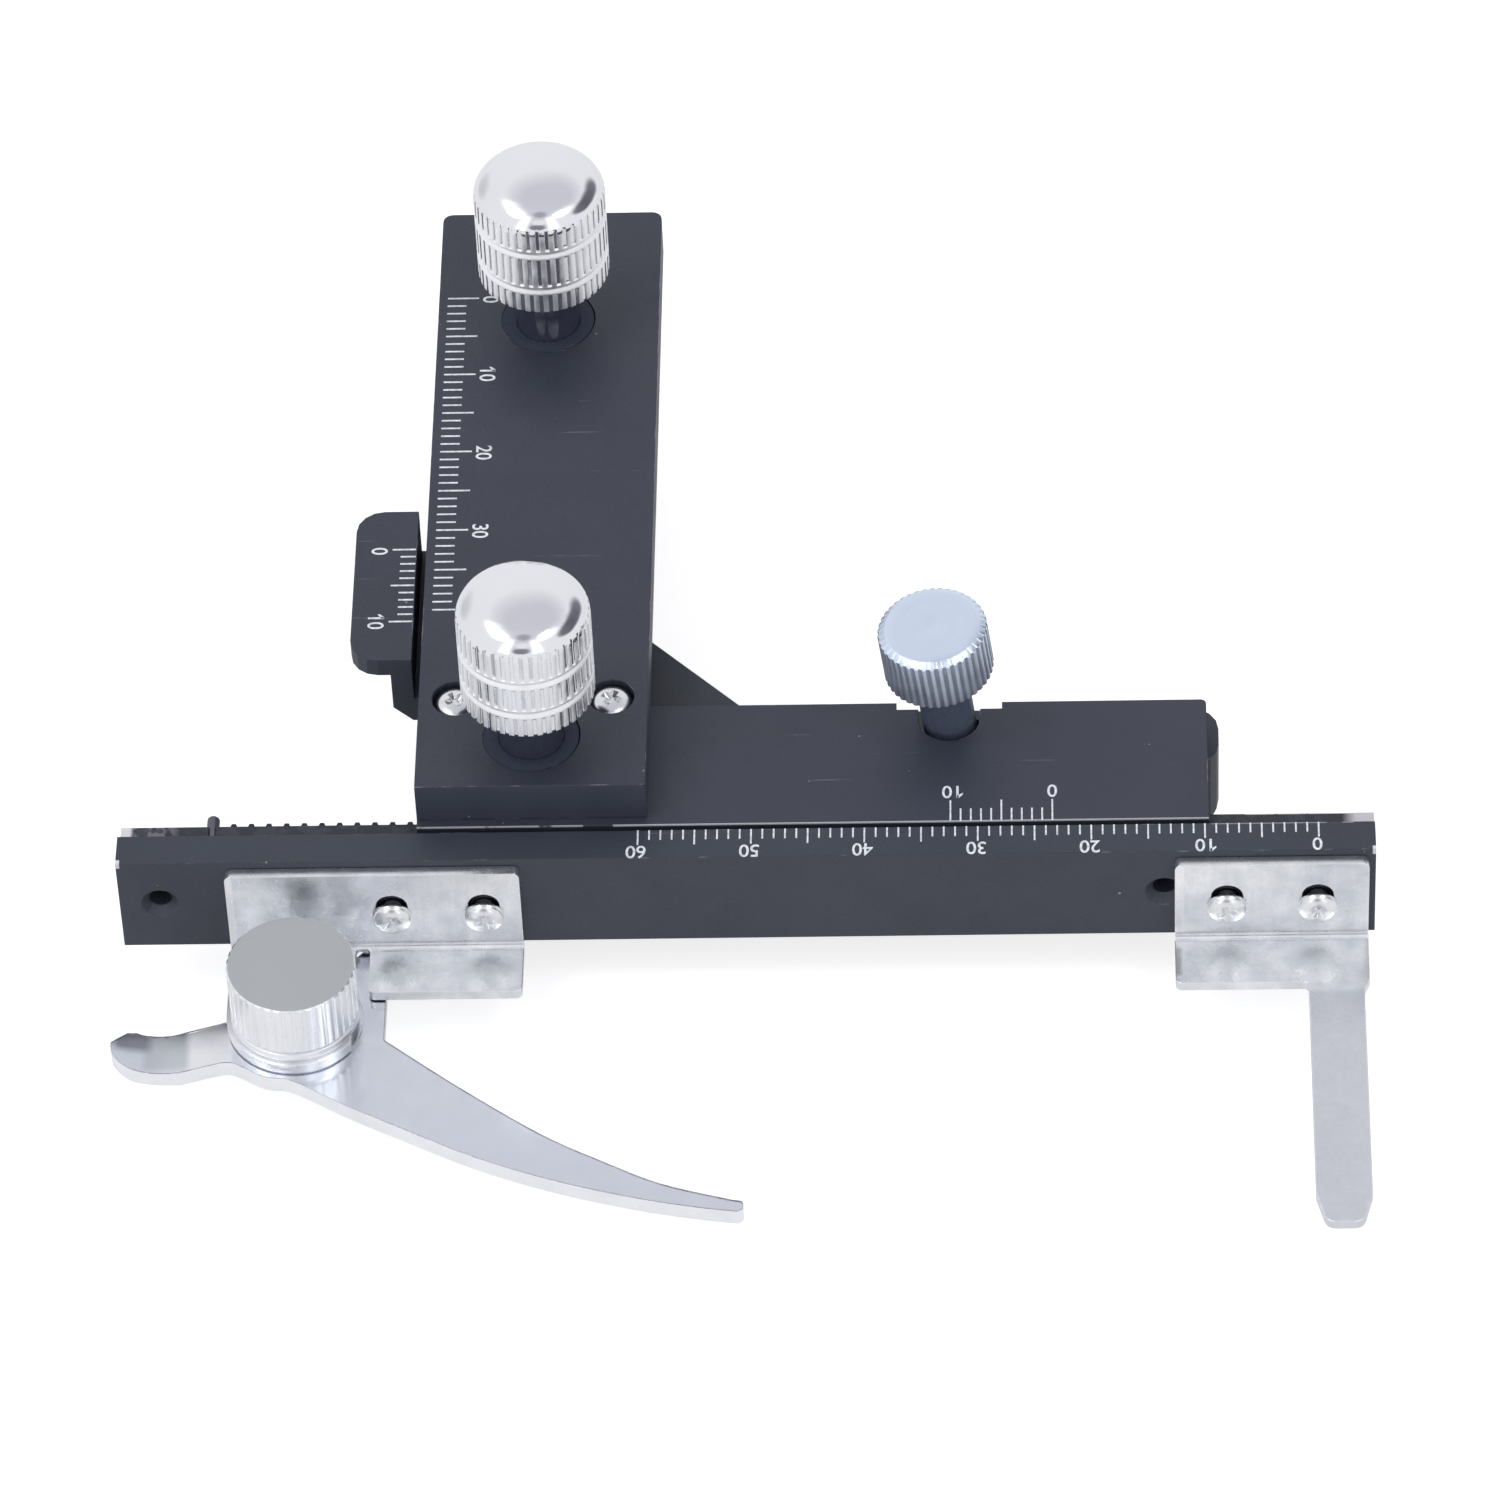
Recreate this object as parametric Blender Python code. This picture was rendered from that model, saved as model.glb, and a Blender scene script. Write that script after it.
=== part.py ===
# Mechanical microscope stage: a fixed base, a Y carriage with its bar and X guide, an X rail with a
# specimen holder, and a sprung swing arm. Metres, +Z up, +X to the right, +Y away from the operator.
# The origin is on the base's underside, where the centre lines of its two limbs cross.

import bpy
import bmesh
from math import atan2, cos, pi, radians, sin, sqrt, tan
from mathutils import Vector
from mathutils.geometry import interpolate_bezier

MM = 0.001

# Clearances, cutter overrun and facet counts
gap = 0.3 * MM
running_gap = 0.15 * MM
contact_gap = 0.05 * MM
overrun = 2.0 * MM
round_segments = 32
small_segments = 16
pin_segments = 10

# Height of the flat plane that the rail's scale and the X guide's vernier share
scale_plane_z = 13.1 * MM

# X guide: the plate that carries the X vernier, and the block below it
guide_length = 70.0 * MM
guide_front_reach = 12.9 * MM
guide_depth = 14.4 * MM
guide_plate_thickness = 1.9 * MM
guide_block_depth = 9.0 * MM
guide_block_drop = 11.5 * MM
guide_pad_half = 2.4 * MM
guide_pad_drop = 1.1 * MM
guide_corner = 0.5 * MM
notch_shift = 0.1 * MM
notch_radius = 2.75 * MM
notch_reach = 4.7 * MM
relief_width = 9.4 * MM
relief_depth = 0.8 * MM

# Y bar, with the dovetail that slides in the base
bar_width = 20.4 * MM
bar_thickness = 4.3 * MM
bar_length = 72.9 * MM
bar_setback = 0.9 * MM
bar_corner = 0.9 * MM
dovetail_neck_half = 5.1 * MM
dovetail_tail_half = 6.4 * MM
dovetail_depth = 4.2 * MM
dovetail_front_y = 2.1 * MM
dovetail_length = 36.0 * MM
front_axis_inset = 6.1 * MM
rear_axis_inset = 14.1 * MM

# The two cross-head screws that hold the bar on the guide
guide_screw_side_inset = 3.25 * MM
guide_screw_inset = 10.7 * MM
guide_screw_radius = 1.1 * MM
guide_screw_head_radius = 1.7 * MM
guide_screw_head_height = 1.1 * MM
guide_screw_crown = 0.4 * MM
guide_screw_mouth_radius = 2.1 * MM
guide_screw_mouth_depth = 1.6 * MM

# Rack and pinion teeth, the same on both drives
tooth_module = 0.5 * MM
pinion_teeth = 18
pressure_angle = radians(20)
backlash = 0.12 * MM
root_clearance = 0.13 * MM
flank_steps = 3

# Drive spindles, bushes and domed knobs
hub_radius = 2.9 * MM
spindle_radius = 1.9 * MM
bush_radius = 4.2 * MM
bush_recess = 0.3 * MM
bush_ledge = 0.8 * MM
knob_radius = 5.95 * MM
knob_straight = 9.5 * MM
knob_dome = 2.95 * MM
knob_bore_depth = 6.0 * MM
knob_groove_depth = 0.35 * MM
knob_groove_width = 0.5 * MM
knob_low_groove = 2.9 * MM
knob_high_groove = 6.95 * MM
dome_steps = 6
front_knob_lift = 5.9 * MM
rear_knob_lift = 6.5 * MM

# X rail with the thin ledge over its rack, the rack and its stop pins
rail_length = 111.1 * MM
rail_left_reach = 36.7 * MM
rail_depth = 3.3 * MM
rail_height = 10.65 * MM
rail_gap = 0.65 * MM
rail_hole_radius = 1.0 * MM
rail_hole_mouth = 1.75 * MM
rail_hole_drop = 5.2 * MM
rail_hole_inset = 3.6 * MM
rail_hole_right_inset = 18.6 * MM
ledge_drop = 2.1 * MM
ledge_thickness = 0.3 * MM
ledge_depth = 3.0 * MM
x_rack_height = 4.15 * MM
x_rack_plain_rise = 0.12 * MM
rack_end_inset = 0.4 * MM
tongue_neck_half = 0.7 * MM
tongue_tail_half = 1.15 * MM
tongue_depth = 3.0 * MM
tongue_drop = 9.0 * MM
stop_pin_radius = 0.57 * MM
stop_pin_reach = 4.5 * MM
stop_pin_drop = 2.65 * MM
rail_travel_left = 23.9 * MM
rail_travel_right = 23.8 * MM
carriage_travel = 31.0 * MM

# Base casting
base_arm_depth = 7.0 * MM
base_arm_top_z = 9.9 * MM
base_nose_reach = 1.1 * MM
base_nose_corner = 2.6 * MM
base_nose_undercut = 2.6 * MM
leg_top_z = 12.7 * MM
leg_rear_y = 51.1 * MM
leg_right_inset = 0.8 * MM
leg_pad_gap = 2.6 * MM
gusset_leg = 9.6 * MM
channel_gap = 0.2 * MM
drive_slot_floor_z = 4.5 * MM
pin_radius = 1.0 * MM
pin_reach = 1.6 * MM
pin_seat_depth = 3.0 * MM
left_pin_x = 20.0 * MM
right_pin_x = 54.0 * MM

# Y rack inside the base, and the screws that hold it from below
y_rack_height = 3.2 * MM
y_rack_width = 3.3 * MM
y_rack_screw_radius = 0.7 * MM
y_rack_screw_head_radius = 1.3 * MM
y_rack_screw_head_depth = 0.9 * MM
y_rack_screw_inset = 6.0 * MM

# Y vernier bracket on the base's left side, and its screws
tab_width = 5.55 * MM
tab_length = 18.6 * MM
tab_front_y = 3.5 * MM
tab_thickness = 1.9 * MM
tab_gap = 0.85 * MM
tab_corner = 2.5 * MM
riser_thickness = 1.95 * MM
riser_foot_height = 2.8 * MM
riser_chamfer = 1.7 * MM
foot_gap = 0.1 * MM
vernier_screw_radius = 0.6 * MM
vernier_screw_head_radius = 1.0 * MM
vernier_screw_head_height = 0.8 * MM
vernier_screw_length = 4.6 * MM
vernier_screw_inset = 4.0 * MM

# Clamp thumb screw, which leans a little in its clearance hole, as a loose screw does
clamp_x = 36.8 * MM
clamp_y = 0.1 * MM
clamp_lean_left = radians(6.0)
clamp_lean_forward = radians(2.3)
clamp_knob_radius = 4.9 * MM
clamp_knob_height = 6.0 * MM
clamp_knob_bevel = 0.6 * MM
clamp_knob_lift = 5.9 * MM
clamp_neck_radius = 2.4 * MM
clamp_neck_end_drop = 2.75 * MM
clamp_stud_radius = 1.9 * MM
clamp_stud_reach = 3.5 * MM
clamp_tip_length = 0.8 * MM
clamp_tip_radius = 1.3 * MM
clamp_hole_radius = 2.6 * MM
clamp_socket_depth = 3.6 * MM
clamp_socket_radius = 1.8 * MM

# Holder brackets on the rail's front face, bent from sheet
sheet = 1.0 * MM
flange_top_drop = 0.75 * MM
shelf_top_z = 3.0 * MM
shelf_reach = 6.5 * MM
bend_radius = 0.7 * MM
bend_steps = 4
left_flange_inset = 9.6 * MM
left_flange_length = 26.05 * MM
left_shelf_inset = 12.4 * MM
left_screw_a_inset = 11.45 * MM
left_screw_b_inset = 3.3 * MM
lug_width = 11.1 * MM
lug_radius = 6.1 * MM
right_flange_inset = 0.6 * MM
right_flange_length = 17.1 * MM
right_screw_a_inset = 12.5 * MM
right_screw_b_inset = 4.5 * MM
holder_finger_width = 4.9 * MM
holder_finger_inset = 0.5 * MM
holder_finger_reach = 34.2 * MM
holder_finger_taper = 3.2 * MM
bracket_slot_width = 2.8 * MM
bracket_slot_height = 4.2 * MM
bracket_screw_drop = 6.0 * MM
bracket_slot_rise = 0.5 * MM
bracket_screw_radius = 1.0 * MM
bracket_screw_head_radius = 1.75 * MM
bracket_screw_head_height = 1.1 * MM
bracket_screw_length = 2.6 * MM

# Pivot of the swing arm: post, washer, knob and spring
pivot_reach = 8.9 * MM
pivot_post_radius = 1.5 * MM
pivot_rivet_radius = 2.3 * MM
pivot_rivet_height = 0.8 * MM
pivot_washer_radius = 5.9 * MM
pivot_washer_thickness = 0.8 * MM
pivot_knob_radius = 5.7 * MM
pivot_knob_height = 5.6 * MM
pivot_knob_wall = 1.2 * MM
pivot_knob_top = 1.3 * MM
pivot_knob_edge = 0.25 * MM
pivot_layer_gap = 0.1 * MM
spring_wire_radius = 0.3 * MM
spring_radius = 3.1 * MM
spring_turns = 3
spring_pitch = 0.75 * MM
spring_sides = 5
spring_steps_per_turn = 14

# Swing arm: thumb lever on the left, hub at the pivot, curved finger on the right
arm_thickness = 1.6 * MM
arm_floor_gap = 0.2 * MM
arm_hub_radius = 6.2 * MM
arm_root_right = 7.8 * MM
arm_root_drop = 2.2 * MM
arm_finger_length = 39.2 * MM
arm_finger_drop = 21.8 * MM
arm_tip_radius = 0.65 * MM
arm_belly_drop = 6.9 * MM
arm_tail_rear = 6.5 * MM
arm_tail_corner = 2.2 * MM
arm_lever_length = 16.1 * MM
arm_lever_drop = 5.7 * MM
curve_pull_share = 1 / 6
finger_back_shares = ((0.22, 0.29), (0.45, 0.57), (0.62, 0.73), (0.79, 0.87))
finger_front_shares = (
    (0.915, 0.967),
    (0.78, 0.896),
    (0.6, 0.765),
    (0.417, 0.582),
    (0.23, 0.335),
    (0.117, 0.18),
)
lever_front_shares = ((0.16, 1.11), (0.35, 0.84), (0.565, 1.0), (0.79, 0.82), (0.99, 0.36))
lever_back_shares = ((0.972, 0.2), (0.86, 0.1), (0.717, 0.2), (0.58, 0.18), (0.4, 0.02))
curve_steps = 3

# A cross-head recess, as shares of the head's radius and height
cross_width_share = 0.56
cross_length_share = 1.25
cross_depth_share = 0.55

# Colours: linear base colour, roughness, metallic
black_paint = ((0.026, 0.029, 0.038), 0.42, 0.0)
dark_metal = ((0.03, 0.03, 0.035), 0.35, 0.6)
bright_chrome = ((0.82, 0.82, 0.84), 0.12, 1.0)
zinc_plate = ((0.62, 0.66, 0.70), 0.30, 1.0)
nickel_plate = ((0.70, 0.71, 0.72), 0.22, 1.0)
steel = ((0.45, 0.45, 0.46), 0.35, 1.0)

# Places worked out from the sizes above
pitch_radius = tooth_module * pinion_teeth / 2
tooth_pitch = pi * tooth_module
tooth_root = tooth_module + root_clearance
pinion_tip_radius = pitch_radius + tooth_module
pinion_reach = pinion_tip_radius + gap
guide_front_y = -guide_front_reach
bar_front_y = guide_front_y + bar_setback
bar_rear_y = bar_front_y + bar_length
bar_bottom_z = scale_plane_z + contact_gap
bar_top_z = scale_plane_z + bar_thickness
bar_half = bar_width / 2
front_axis_y = bar_front_y + front_axis_inset
rear_axis_y = bar_rear_y - rear_axis_inset
drive_slot_front_y = rear_axis_y - carriage_travel - pinion_reach
guide_left_x = -bar_half
guide_right_x = guide_left_x + guide_length
guide_rear_y = guide_front_y + guide_depth
plate_bottom_z = scale_plane_z - guide_plate_thickness
guide_block_rear_y = guide_front_y + guide_block_depth
guide_screw_y = bar_front_y + guide_screw_inset
guide_screw_x = bar_half - guide_screw_side_inset
guide_screw_places = ((-guide_screw_x, guide_screw_y), (guide_screw_x, guide_screw_y))
rail_rear_y = guide_front_y - rail_gap
rail_front_y = rail_rear_y - rail_depth
rail_left_x = -rail_left_reach
rail_right_x = rail_left_x + rail_length
x_pitch_y = front_axis_y - pitch_radius
ledge_top_z = scale_plane_z - ledge_drop
x_rack_top_z = ledge_top_z - ledge_thickness - contact_gap
x_rack_bottom_z = x_rack_top_z - x_rack_height
x_pocket_floor_z = x_rack_bottom_z - gap
tongue_z = scale_plane_z - tongue_drop
stop_pin_z = scale_plane_z - stop_pin_drop
pin_contact_x = sqrt(pinion_tip_radius ** 2 - (front_axis_y - rail_rear_y - stop_pin_reach) ** 2)
stop_pin_left_x = -pin_contact_x - stop_pin_radius - rail_travel_right - gap
stop_pin_right_x = pin_contact_x + stop_pin_radius + rail_travel_left + gap
base_arm_half = base_arm_depth / 2
notch_x = clamp_x + notch_shift
leg_right_x = bar_half - leg_right_inset
base_nose_x = guide_right_x + base_nose_reach
dovetail_rise = dovetail_tail_half - dovetail_neck_half
channel_floor_z = scale_plane_z - dovetail_depth - channel_gap
y_rack_bottom_z = drive_slot_floor_z + gap
y_rack_top_z = y_rack_bottom_z + y_rack_height
y_rack_back_x = pitch_radius + y_rack_width
y_rack_screw_x = pitch_radius + (tooth_root + y_rack_width) / 2
y_rack_screw_places = (drive_slot_front_y + y_rack_screw_inset, leg_rear_y - y_rack_screw_inset)
pin_places_x = (left_pin_x, right_pin_x)
tab_right_x = -bar_half - tab_gap
riser_left_x = tab_right_x - riser_thickness
foot_top_z = leg_top_z - gap
vernier_screw_z = foot_top_z - vernier_screw_head_radius
vernier_screw_seat_x = riser_left_x + vernier_screw_head_height
vernier_screw_places = (tab_front_y + vernier_screw_inset, tab_front_y + tab_length - vernier_screw_inset)
left_flange_left_x = rail_left_x + left_flange_inset
left_flange_right_x = left_flange_left_x + left_flange_length
left_shelf_left_x = left_flange_left_x + left_shelf_inset
lug_right_x = left_flange_left_x + lug_width
pivot_x = left_flange_left_x + lug_radius
left_screw_a_x = left_flange_right_x - left_screw_a_inset
left_screw_b_x = left_flange_right_x - left_screw_b_inset
left_screw_places_x = (left_screw_a_x, left_screw_b_x)
right_flange_right_x = rail_right_x - right_flange_inset
right_flange_left_x = right_flange_right_x - right_flange_length
right_screw_a_x = right_flange_right_x - right_screw_a_inset
right_screw_b_x = right_flange_right_x - right_screw_b_inset
right_screw_places_x = (right_screw_a_x, right_screw_b_x)
bracket_screw_z = scale_plane_z - bracket_screw_drop
bracket_back_y = rail_front_y - contact_gap
shelf_bottom_z = shelf_top_z - sheet
shelf_front_y = rail_front_y - shelf_reach
pivot_y = rail_front_y - pivot_reach
arm_bottom_z = arm_floor_gap
arm_top_z = arm_bottom_z + arm_thickness
pivot_washer_z = shelf_top_z + pivot_layer_gap
pivot_knob_bottom_z = pivot_washer_z + pivot_washer_thickness + pivot_layer_gap
pivot_knob_ceiling_z = pivot_knob_bottom_z + pivot_knob_height - pivot_knob_top


def clear_scene():
    for old in list(bpy.data.objects):
        bpy.data.objects.remove(old, do_unlink=True)


def make_material(name, look):
    colour, roughness, metallic = look
    material = bpy.data.materials.new(name)
    material.use_nodes = True
    shader = material.node_tree.nodes["Principled BSDF"]
    shader.inputs["Base Color"].default_value = (*colour, 1.0)
    shader.inputs["Roughness"].default_value = roughness
    shader.inputs["Metallic"].default_value = metallic
    return material


def world_place(item):
    place = Vector((0, 0, 0))
    while item:
        place += item.location
        item = item.parent
    return place


def add_empty(name, place, parent=None):
    empty = bpy.data.objects.new(name, None)
    bpy.context.scene.collection.objects.link(empty)
    empty.parent = parent
    empty.location = Vector(place) - world_place(parent)
    return empty


def add_object(name, mesh, look=None, parent=None, place=(0, 0, 0), smooth=False):
    piece = bpy.data.objects.new(name, mesh)
    bpy.context.scene.collection.objects.link(piece)
    piece.parent = parent
    piece.location = Vector(place) - world_place(parent)
    if look:
        mesh.materials.append(make_material(name + "_finish", look))
    if smooth:
        mesh.shade_smooth()
        mesh.set_sharp_from_angle(angle=radians(35))
    return piece


def finish_mesh(name, bm):
    bmesh.ops.recalc_face_normals(bm, faces=bm.faces)
    mesh = bpy.data.meshes.new(name)
    bm.to_mesh(mesh)
    bm.free()
    return mesh


def box_mesh(low, high):
    bm = bmesh.new()
    bmesh.ops.create_cube(bm, size=1.0)
    for vert in bm.verts:
        for axis in range(3):
            vert.co[axis] = high[axis] if vert.co[axis] > 0 else low[axis]
    return finish_mesh("box", bm)


def prism_mesh(outline, start, end, axis="Z"):
    """An outline in the plane across an axis, extruded between two places along that axis."""
    def point(a, b, along):
        return {"Z": (a, b, along), "Y": (a, along, b), "X": (along, a, b)}[axis]
    bm = bmesh.new()
    lower = [bm.verts.new(point(a, b, start)) for a, b in outline]
    upper = [bm.verts.new(point(a, b, end)) for a, b in outline]
    bm.faces.new(lower[::-1])
    bm.faces.new(upper)
    for index in range(len(outline)):
        after = (index + 1) % len(outline)
        bm.faces.new((lower[index], lower[after], upper[after], upper[index]))
    return finish_mesh("prism", bm)


def turned_mesh(profile, segments):
    """A body turned about Z. The profile runs from axis to axis, or closes on itself as a ring."""
    bm = bmesh.new()
    turns = [2 * pi * step / segments for step in range(segments)]
    rings = []
    for radius, height in profile:
        if radius == 0:
            rings.append([bm.verts.new((0, 0, height))])
        else:
            rings.append([bm.verts.new((radius * cos(t), radius * sin(t), height)) for t in turns])
    pairs = list(zip(rings, rings[1:]))
    if profile[0][0] > 0:
        pairs.append((rings[-1], rings[0]))
    for first, second in pairs:
        for step in range(segments):
            after = (step + 1) % segments
            if len(first) == 1:
                bm.faces.new((first[0], second[step], second[after]))
            elif len(second) == 1:
                bm.faces.new((first[step], second[0], first[after]))
            else:
                bm.faces.new((first[step], second[step], second[after], first[after]))
    return finish_mesh("turned", bm)


def disc_profile(radius, low, high):
    return [(0, low), (radius, low), (radius, high), (0, high)]


def arc(centre, radius, begin, end, steps):
    turns = [begin + (end - begin) * step / steps for step in range(steps + 1)]
    return [(centre[0] + radius * cos(t), centre[1] + radius * sin(t)) for t in turns]


def rounded_rectangle(low, high, radii, steps=4):
    """Corner radii run anticlockwise from the low corner."""
    front_corners = ((low[0], low[1], 1, 1), (high[0], low[1], -1, 1))
    rear_corners = ((high[0], high[1], -1, -1), (low[0], high[1], 1, -1))
    corners = front_corners + rear_corners
    points = []
    for number, ((x, y, inward_x, inward_y), radius) in enumerate(zip(corners, radii)):
        if radius == 0:
            points.append((x, y))
            continue
        begin = pi + number * pi / 2
        centre = (x + inward_x * radius, y + inward_y * radius)
        points += arc(centre, radius, begin, begin + pi / 2, steps)
    return points


def smooth_curve(points, steps):
    """A curve through the points, with its first and last point kept."""
    padded = [Vector(point) for point in (points[0], *points, points[-1])]
    curve = []
    for before, start, end, after in zip(padded, padded[1:], padded[2:], padded[3:]):
        leave = start + (end - before) * curve_pull_share
        arrive = end - (after - start) * curve_pull_share
        run = interpolate_bezier(start, leave, arrive, end, steps + 1)
        curve += [tuple(point) for point in run[:-1]]
    return [*curve, points[-1]]


def shape_with(piece, tool, operation):
    tool.hide_render = True
    tool.display_type = "WIRE"
    change = piece.modifiers.new(tool.name, "BOOLEAN")
    change.operation = operation
    change.solver = "EXACT"
    change.object = tool


def cut(piece, mesh, name, place=(0, 0, 0), rotation=(0, 0, 0)):
    tool = add_object(name, mesh, place=place)
    tool.rotation_euler = rotation
    shape_with(piece, tool, "DIFFERENCE")


def join(piece, mesh, name, place=(0, 0, 0)):
    shape_with(piece, add_object(name, mesh, place=place), "UNION")


def add_fixed_shape(name, mesh, look, parent=None):
    """A piece whose mesh is drawn in world places, shifted so that its origin is its parent's."""
    place = world_place(parent)
    for vert in mesh.vertices:
        vert.co -= place
    return add_object(name, mesh, look, parent, place)


def dome_profile(radius, low, rise, steps):
    """A quarter ellipse from the rim to the crown."""
    turns = [pi / 2 * step / steps for step in range(steps)]
    return [(radius * cos(t), low + rise * sin(t)) for t in turns] + [(0, low + rise)]


def pinion_outline(tilt):
    """Involute teeth thinned by half the backlash, with the middle of a tooth gap at the tilt angle."""
    base_radius = pitch_radius * cos(pressure_angle)

    def involute(radius):
        roll = sqrt(max(radius ** 2 / base_radius ** 2 - 1, 0))
        return roll - atan2(roll, 1)

    half_tooth = pi / pinion_teeth / 2 - backlash / 4 / pitch_radius
    flank = []
    for step in range(flank_steps + 1):
        radius = base_radius + (pinion_tip_radius - base_radius) * step / flank_steps
        flank.append((radius, half_tooth + involute(pitch_radius) - involute(radius)))
    foot = (pitch_radius - tooth_root, flank[0][1])
    side = [foot, *flank]
    points = []
    for tooth in range(pinion_teeth):
        middle = tilt + 2 * pi * (tooth + 1 / 2) / pinion_teeth
        points += [(radius, middle - half) for radius, half in side]
        points += [(radius, middle + half) for radius, half in reversed(side)]
    return [(radius * cos(turn), radius * sin(turn)) for radius, turn in points]


def rack_outline(first, last, low, high, back, plain):
    """A rack with its pitch line at height 0, teeth upwards at whole pitches, and plain ends."""
    slope = tan(pressure_angle)
    half_pitch_line = tooth_pitch / 4 - backlash / 4
    tip_half = half_pitch_line - tooth_module * slope
    root_half = half_pitch_line + tooth_root * slope
    plain_half = half_pitch_line - plain * slope
    points = [(low, back), (high, back), (high, plain), ((last + 1) * tooth_pitch - plain_half, plain)]
    points.append(((last + 1) * tooth_pitch - root_half, -tooth_root))
    for tooth in range(last, first - 1, -1):
        middle = tooth * tooth_pitch
        points += [(middle + root_half, -tooth_root), (middle + tip_half, tooth_module)]
        points += [(middle - tip_half, tooth_module), (middle - root_half, -tooth_root)]
    points.append(((first - 1) * tooth_pitch + root_half, -tooth_root))
    points += [((first - 1) * tooth_pitch + plain_half, plain), (low, plain)]
    return points


def cross_recess(screw, place, head_radius, depth, rotation=(0, 0, 0)):
    half_long = head_radius * cross_length_share / 2
    half_wide = head_radius * cross_width_share / 2
    for number, (along, across) in enumerate(((half_long, half_wide), (half_wide, half_long))):
        mesh = box_mesh((-along, -across, -depth), (along, across, overrun))
        cut(screw, mesh, screw.name + "_cross_" + str(number), place, rotation)


def slot_recess(screw, place, head_radius, depth, rotation=(0, 0, 0)):
    half = head_radius * cross_width_share / 2
    reach = head_radius + overrun
    mesh = box_mesh((-reach, -half, -depth), (reach, half, overrun))
    cut(screw, mesh, screw.name + "_slot", place, rotation)


def base_outline():
    nose = rounded_rectangle((-bar_half, -base_arm_half), (base_nose_x, base_arm_half),
                             (0, base_nose_corner, base_nose_corner, 0))
    gusset = [(leg_right_x + gusset_leg, base_arm_half), (leg_right_x, base_arm_half + gusset_leg)]
    return [*nose[:-1], *gusset, (leg_right_x, leg_rear_y), (-bar_half, leg_rear_y)]


def y_rack_screw_profile(clearance, below, top):
    head = y_rack_screw_head_radius + clearance
    shank = y_rack_screw_radius + clearance
    step = y_rack_screw_head_depth + clearance
    return [(0, -below), (head, -below), (head, step), (shank, step), (shank, top), (0, top)]


def make_base():
    base = add_object("base_casting", prism_mesh(base_outline(), 0, base_arm_top_z), black_paint)
    pad_front = guide_rear_y + leg_pad_gap
    pad = box_mesh((-bar_half, pad_front, base_arm_top_z / 2), (leg_right_x, leg_rear_y, leg_top_z))
    join(base, pad, "base_leg_pad")
    high = leg_top_z + overrun
    behind = leg_rear_y + overrun
    front = -base_arm_half - overrun
    tail = dovetail_tail_half + channel_gap
    mouth = tail - dovetail_rise * (leg_top_z - channel_floor_z) / dovetail_depth
    channel = [(-tail, channel_floor_z), (tail, channel_floor_z), (mouth, leg_top_z), (mouth, high)]
    channel += [(-mouth, high), (-mouth, leg_top_z)]
    cut(base, prism_mesh(channel, front, behind, "Y"), "base_channel_cutter")
    slot_front = (-pinion_reach, drive_slot_front_y, drive_slot_floor_z)
    cut(base, box_mesh(slot_front, (pinion_reach, behind, leg_top_z)), "base_drive_slot_cutter")
    rack_side = (0, drive_slot_front_y, drive_slot_floor_z)
    rack_slot = box_mesh(rack_side, (y_rack_back_x + running_gap, behind, y_rack_top_z + running_gap))
    cut(base, rack_slot, "base_rack_slot_cutter")
    pocket_rear = front_axis_y + pinion_reach
    pocket = box_mesh((-pinion_reach, front, x_pocket_floor_z), (pinion_reach, pocket_rear, high))
    cut(base, pocket, "base_pinion_pocket_cutter")
    undercut = [(base_nose_x - base_nose_undercut - overrun, -overrun), (base_nose_x + overrun, -overrun)]
    undercut.append((base_nose_x + overrun, base_nose_undercut + overrun))
    cut(base, prism_mesh(undercut, front, base_arm_half + overrun, "Y"), "base_nose_cutter")
    hang = scale_plane_z - base_arm_top_z / 2
    hole = turned_mesh(disc_profile(clamp_hole_radius, -overrun, high), small_segments)
    hole_place = (clamp_x + tan(clamp_lean_left) * hang, clamp_y + tan(clamp_lean_forward) * hang, 0)
    cut(base, hole, "base_clamp_hole_cutter", hole_place)
    for side, x in zip(("left", "right"), pin_places_x):
        seat = turned_mesh(disc_profile(pin_radius + running_gap, -overrun, pin_seat_depth), small_segments)
        cut(base, seat, "base_pin_seat_cutter_" + side, (x, 0, 0))
    for end, y in zip(("front", "rear"), y_rack_screw_places):
        profile = y_rack_screw_profile(running_gap, overrun, drive_slot_floor_z + gap)
        bore = turned_mesh(profile, small_segments)
        cut(base, bore, "base_rack_screw_cutter_" + end, (y_rack_screw_x, y, 0))
    for end, y in zip(("front", "rear"), vernier_screw_places):
        depth = vernier_screw_seat_x + vernier_screw_length + gap + bar_half
        hole = turned_mesh(disc_profile(vernier_screw_radius + running_gap, -overrun, depth), pin_segments)
        cut(base, hole, "base_vernier_screw_cutter_" + end, (-bar_half, y, vernier_screw_z), (0, pi / 2, 0))


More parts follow.
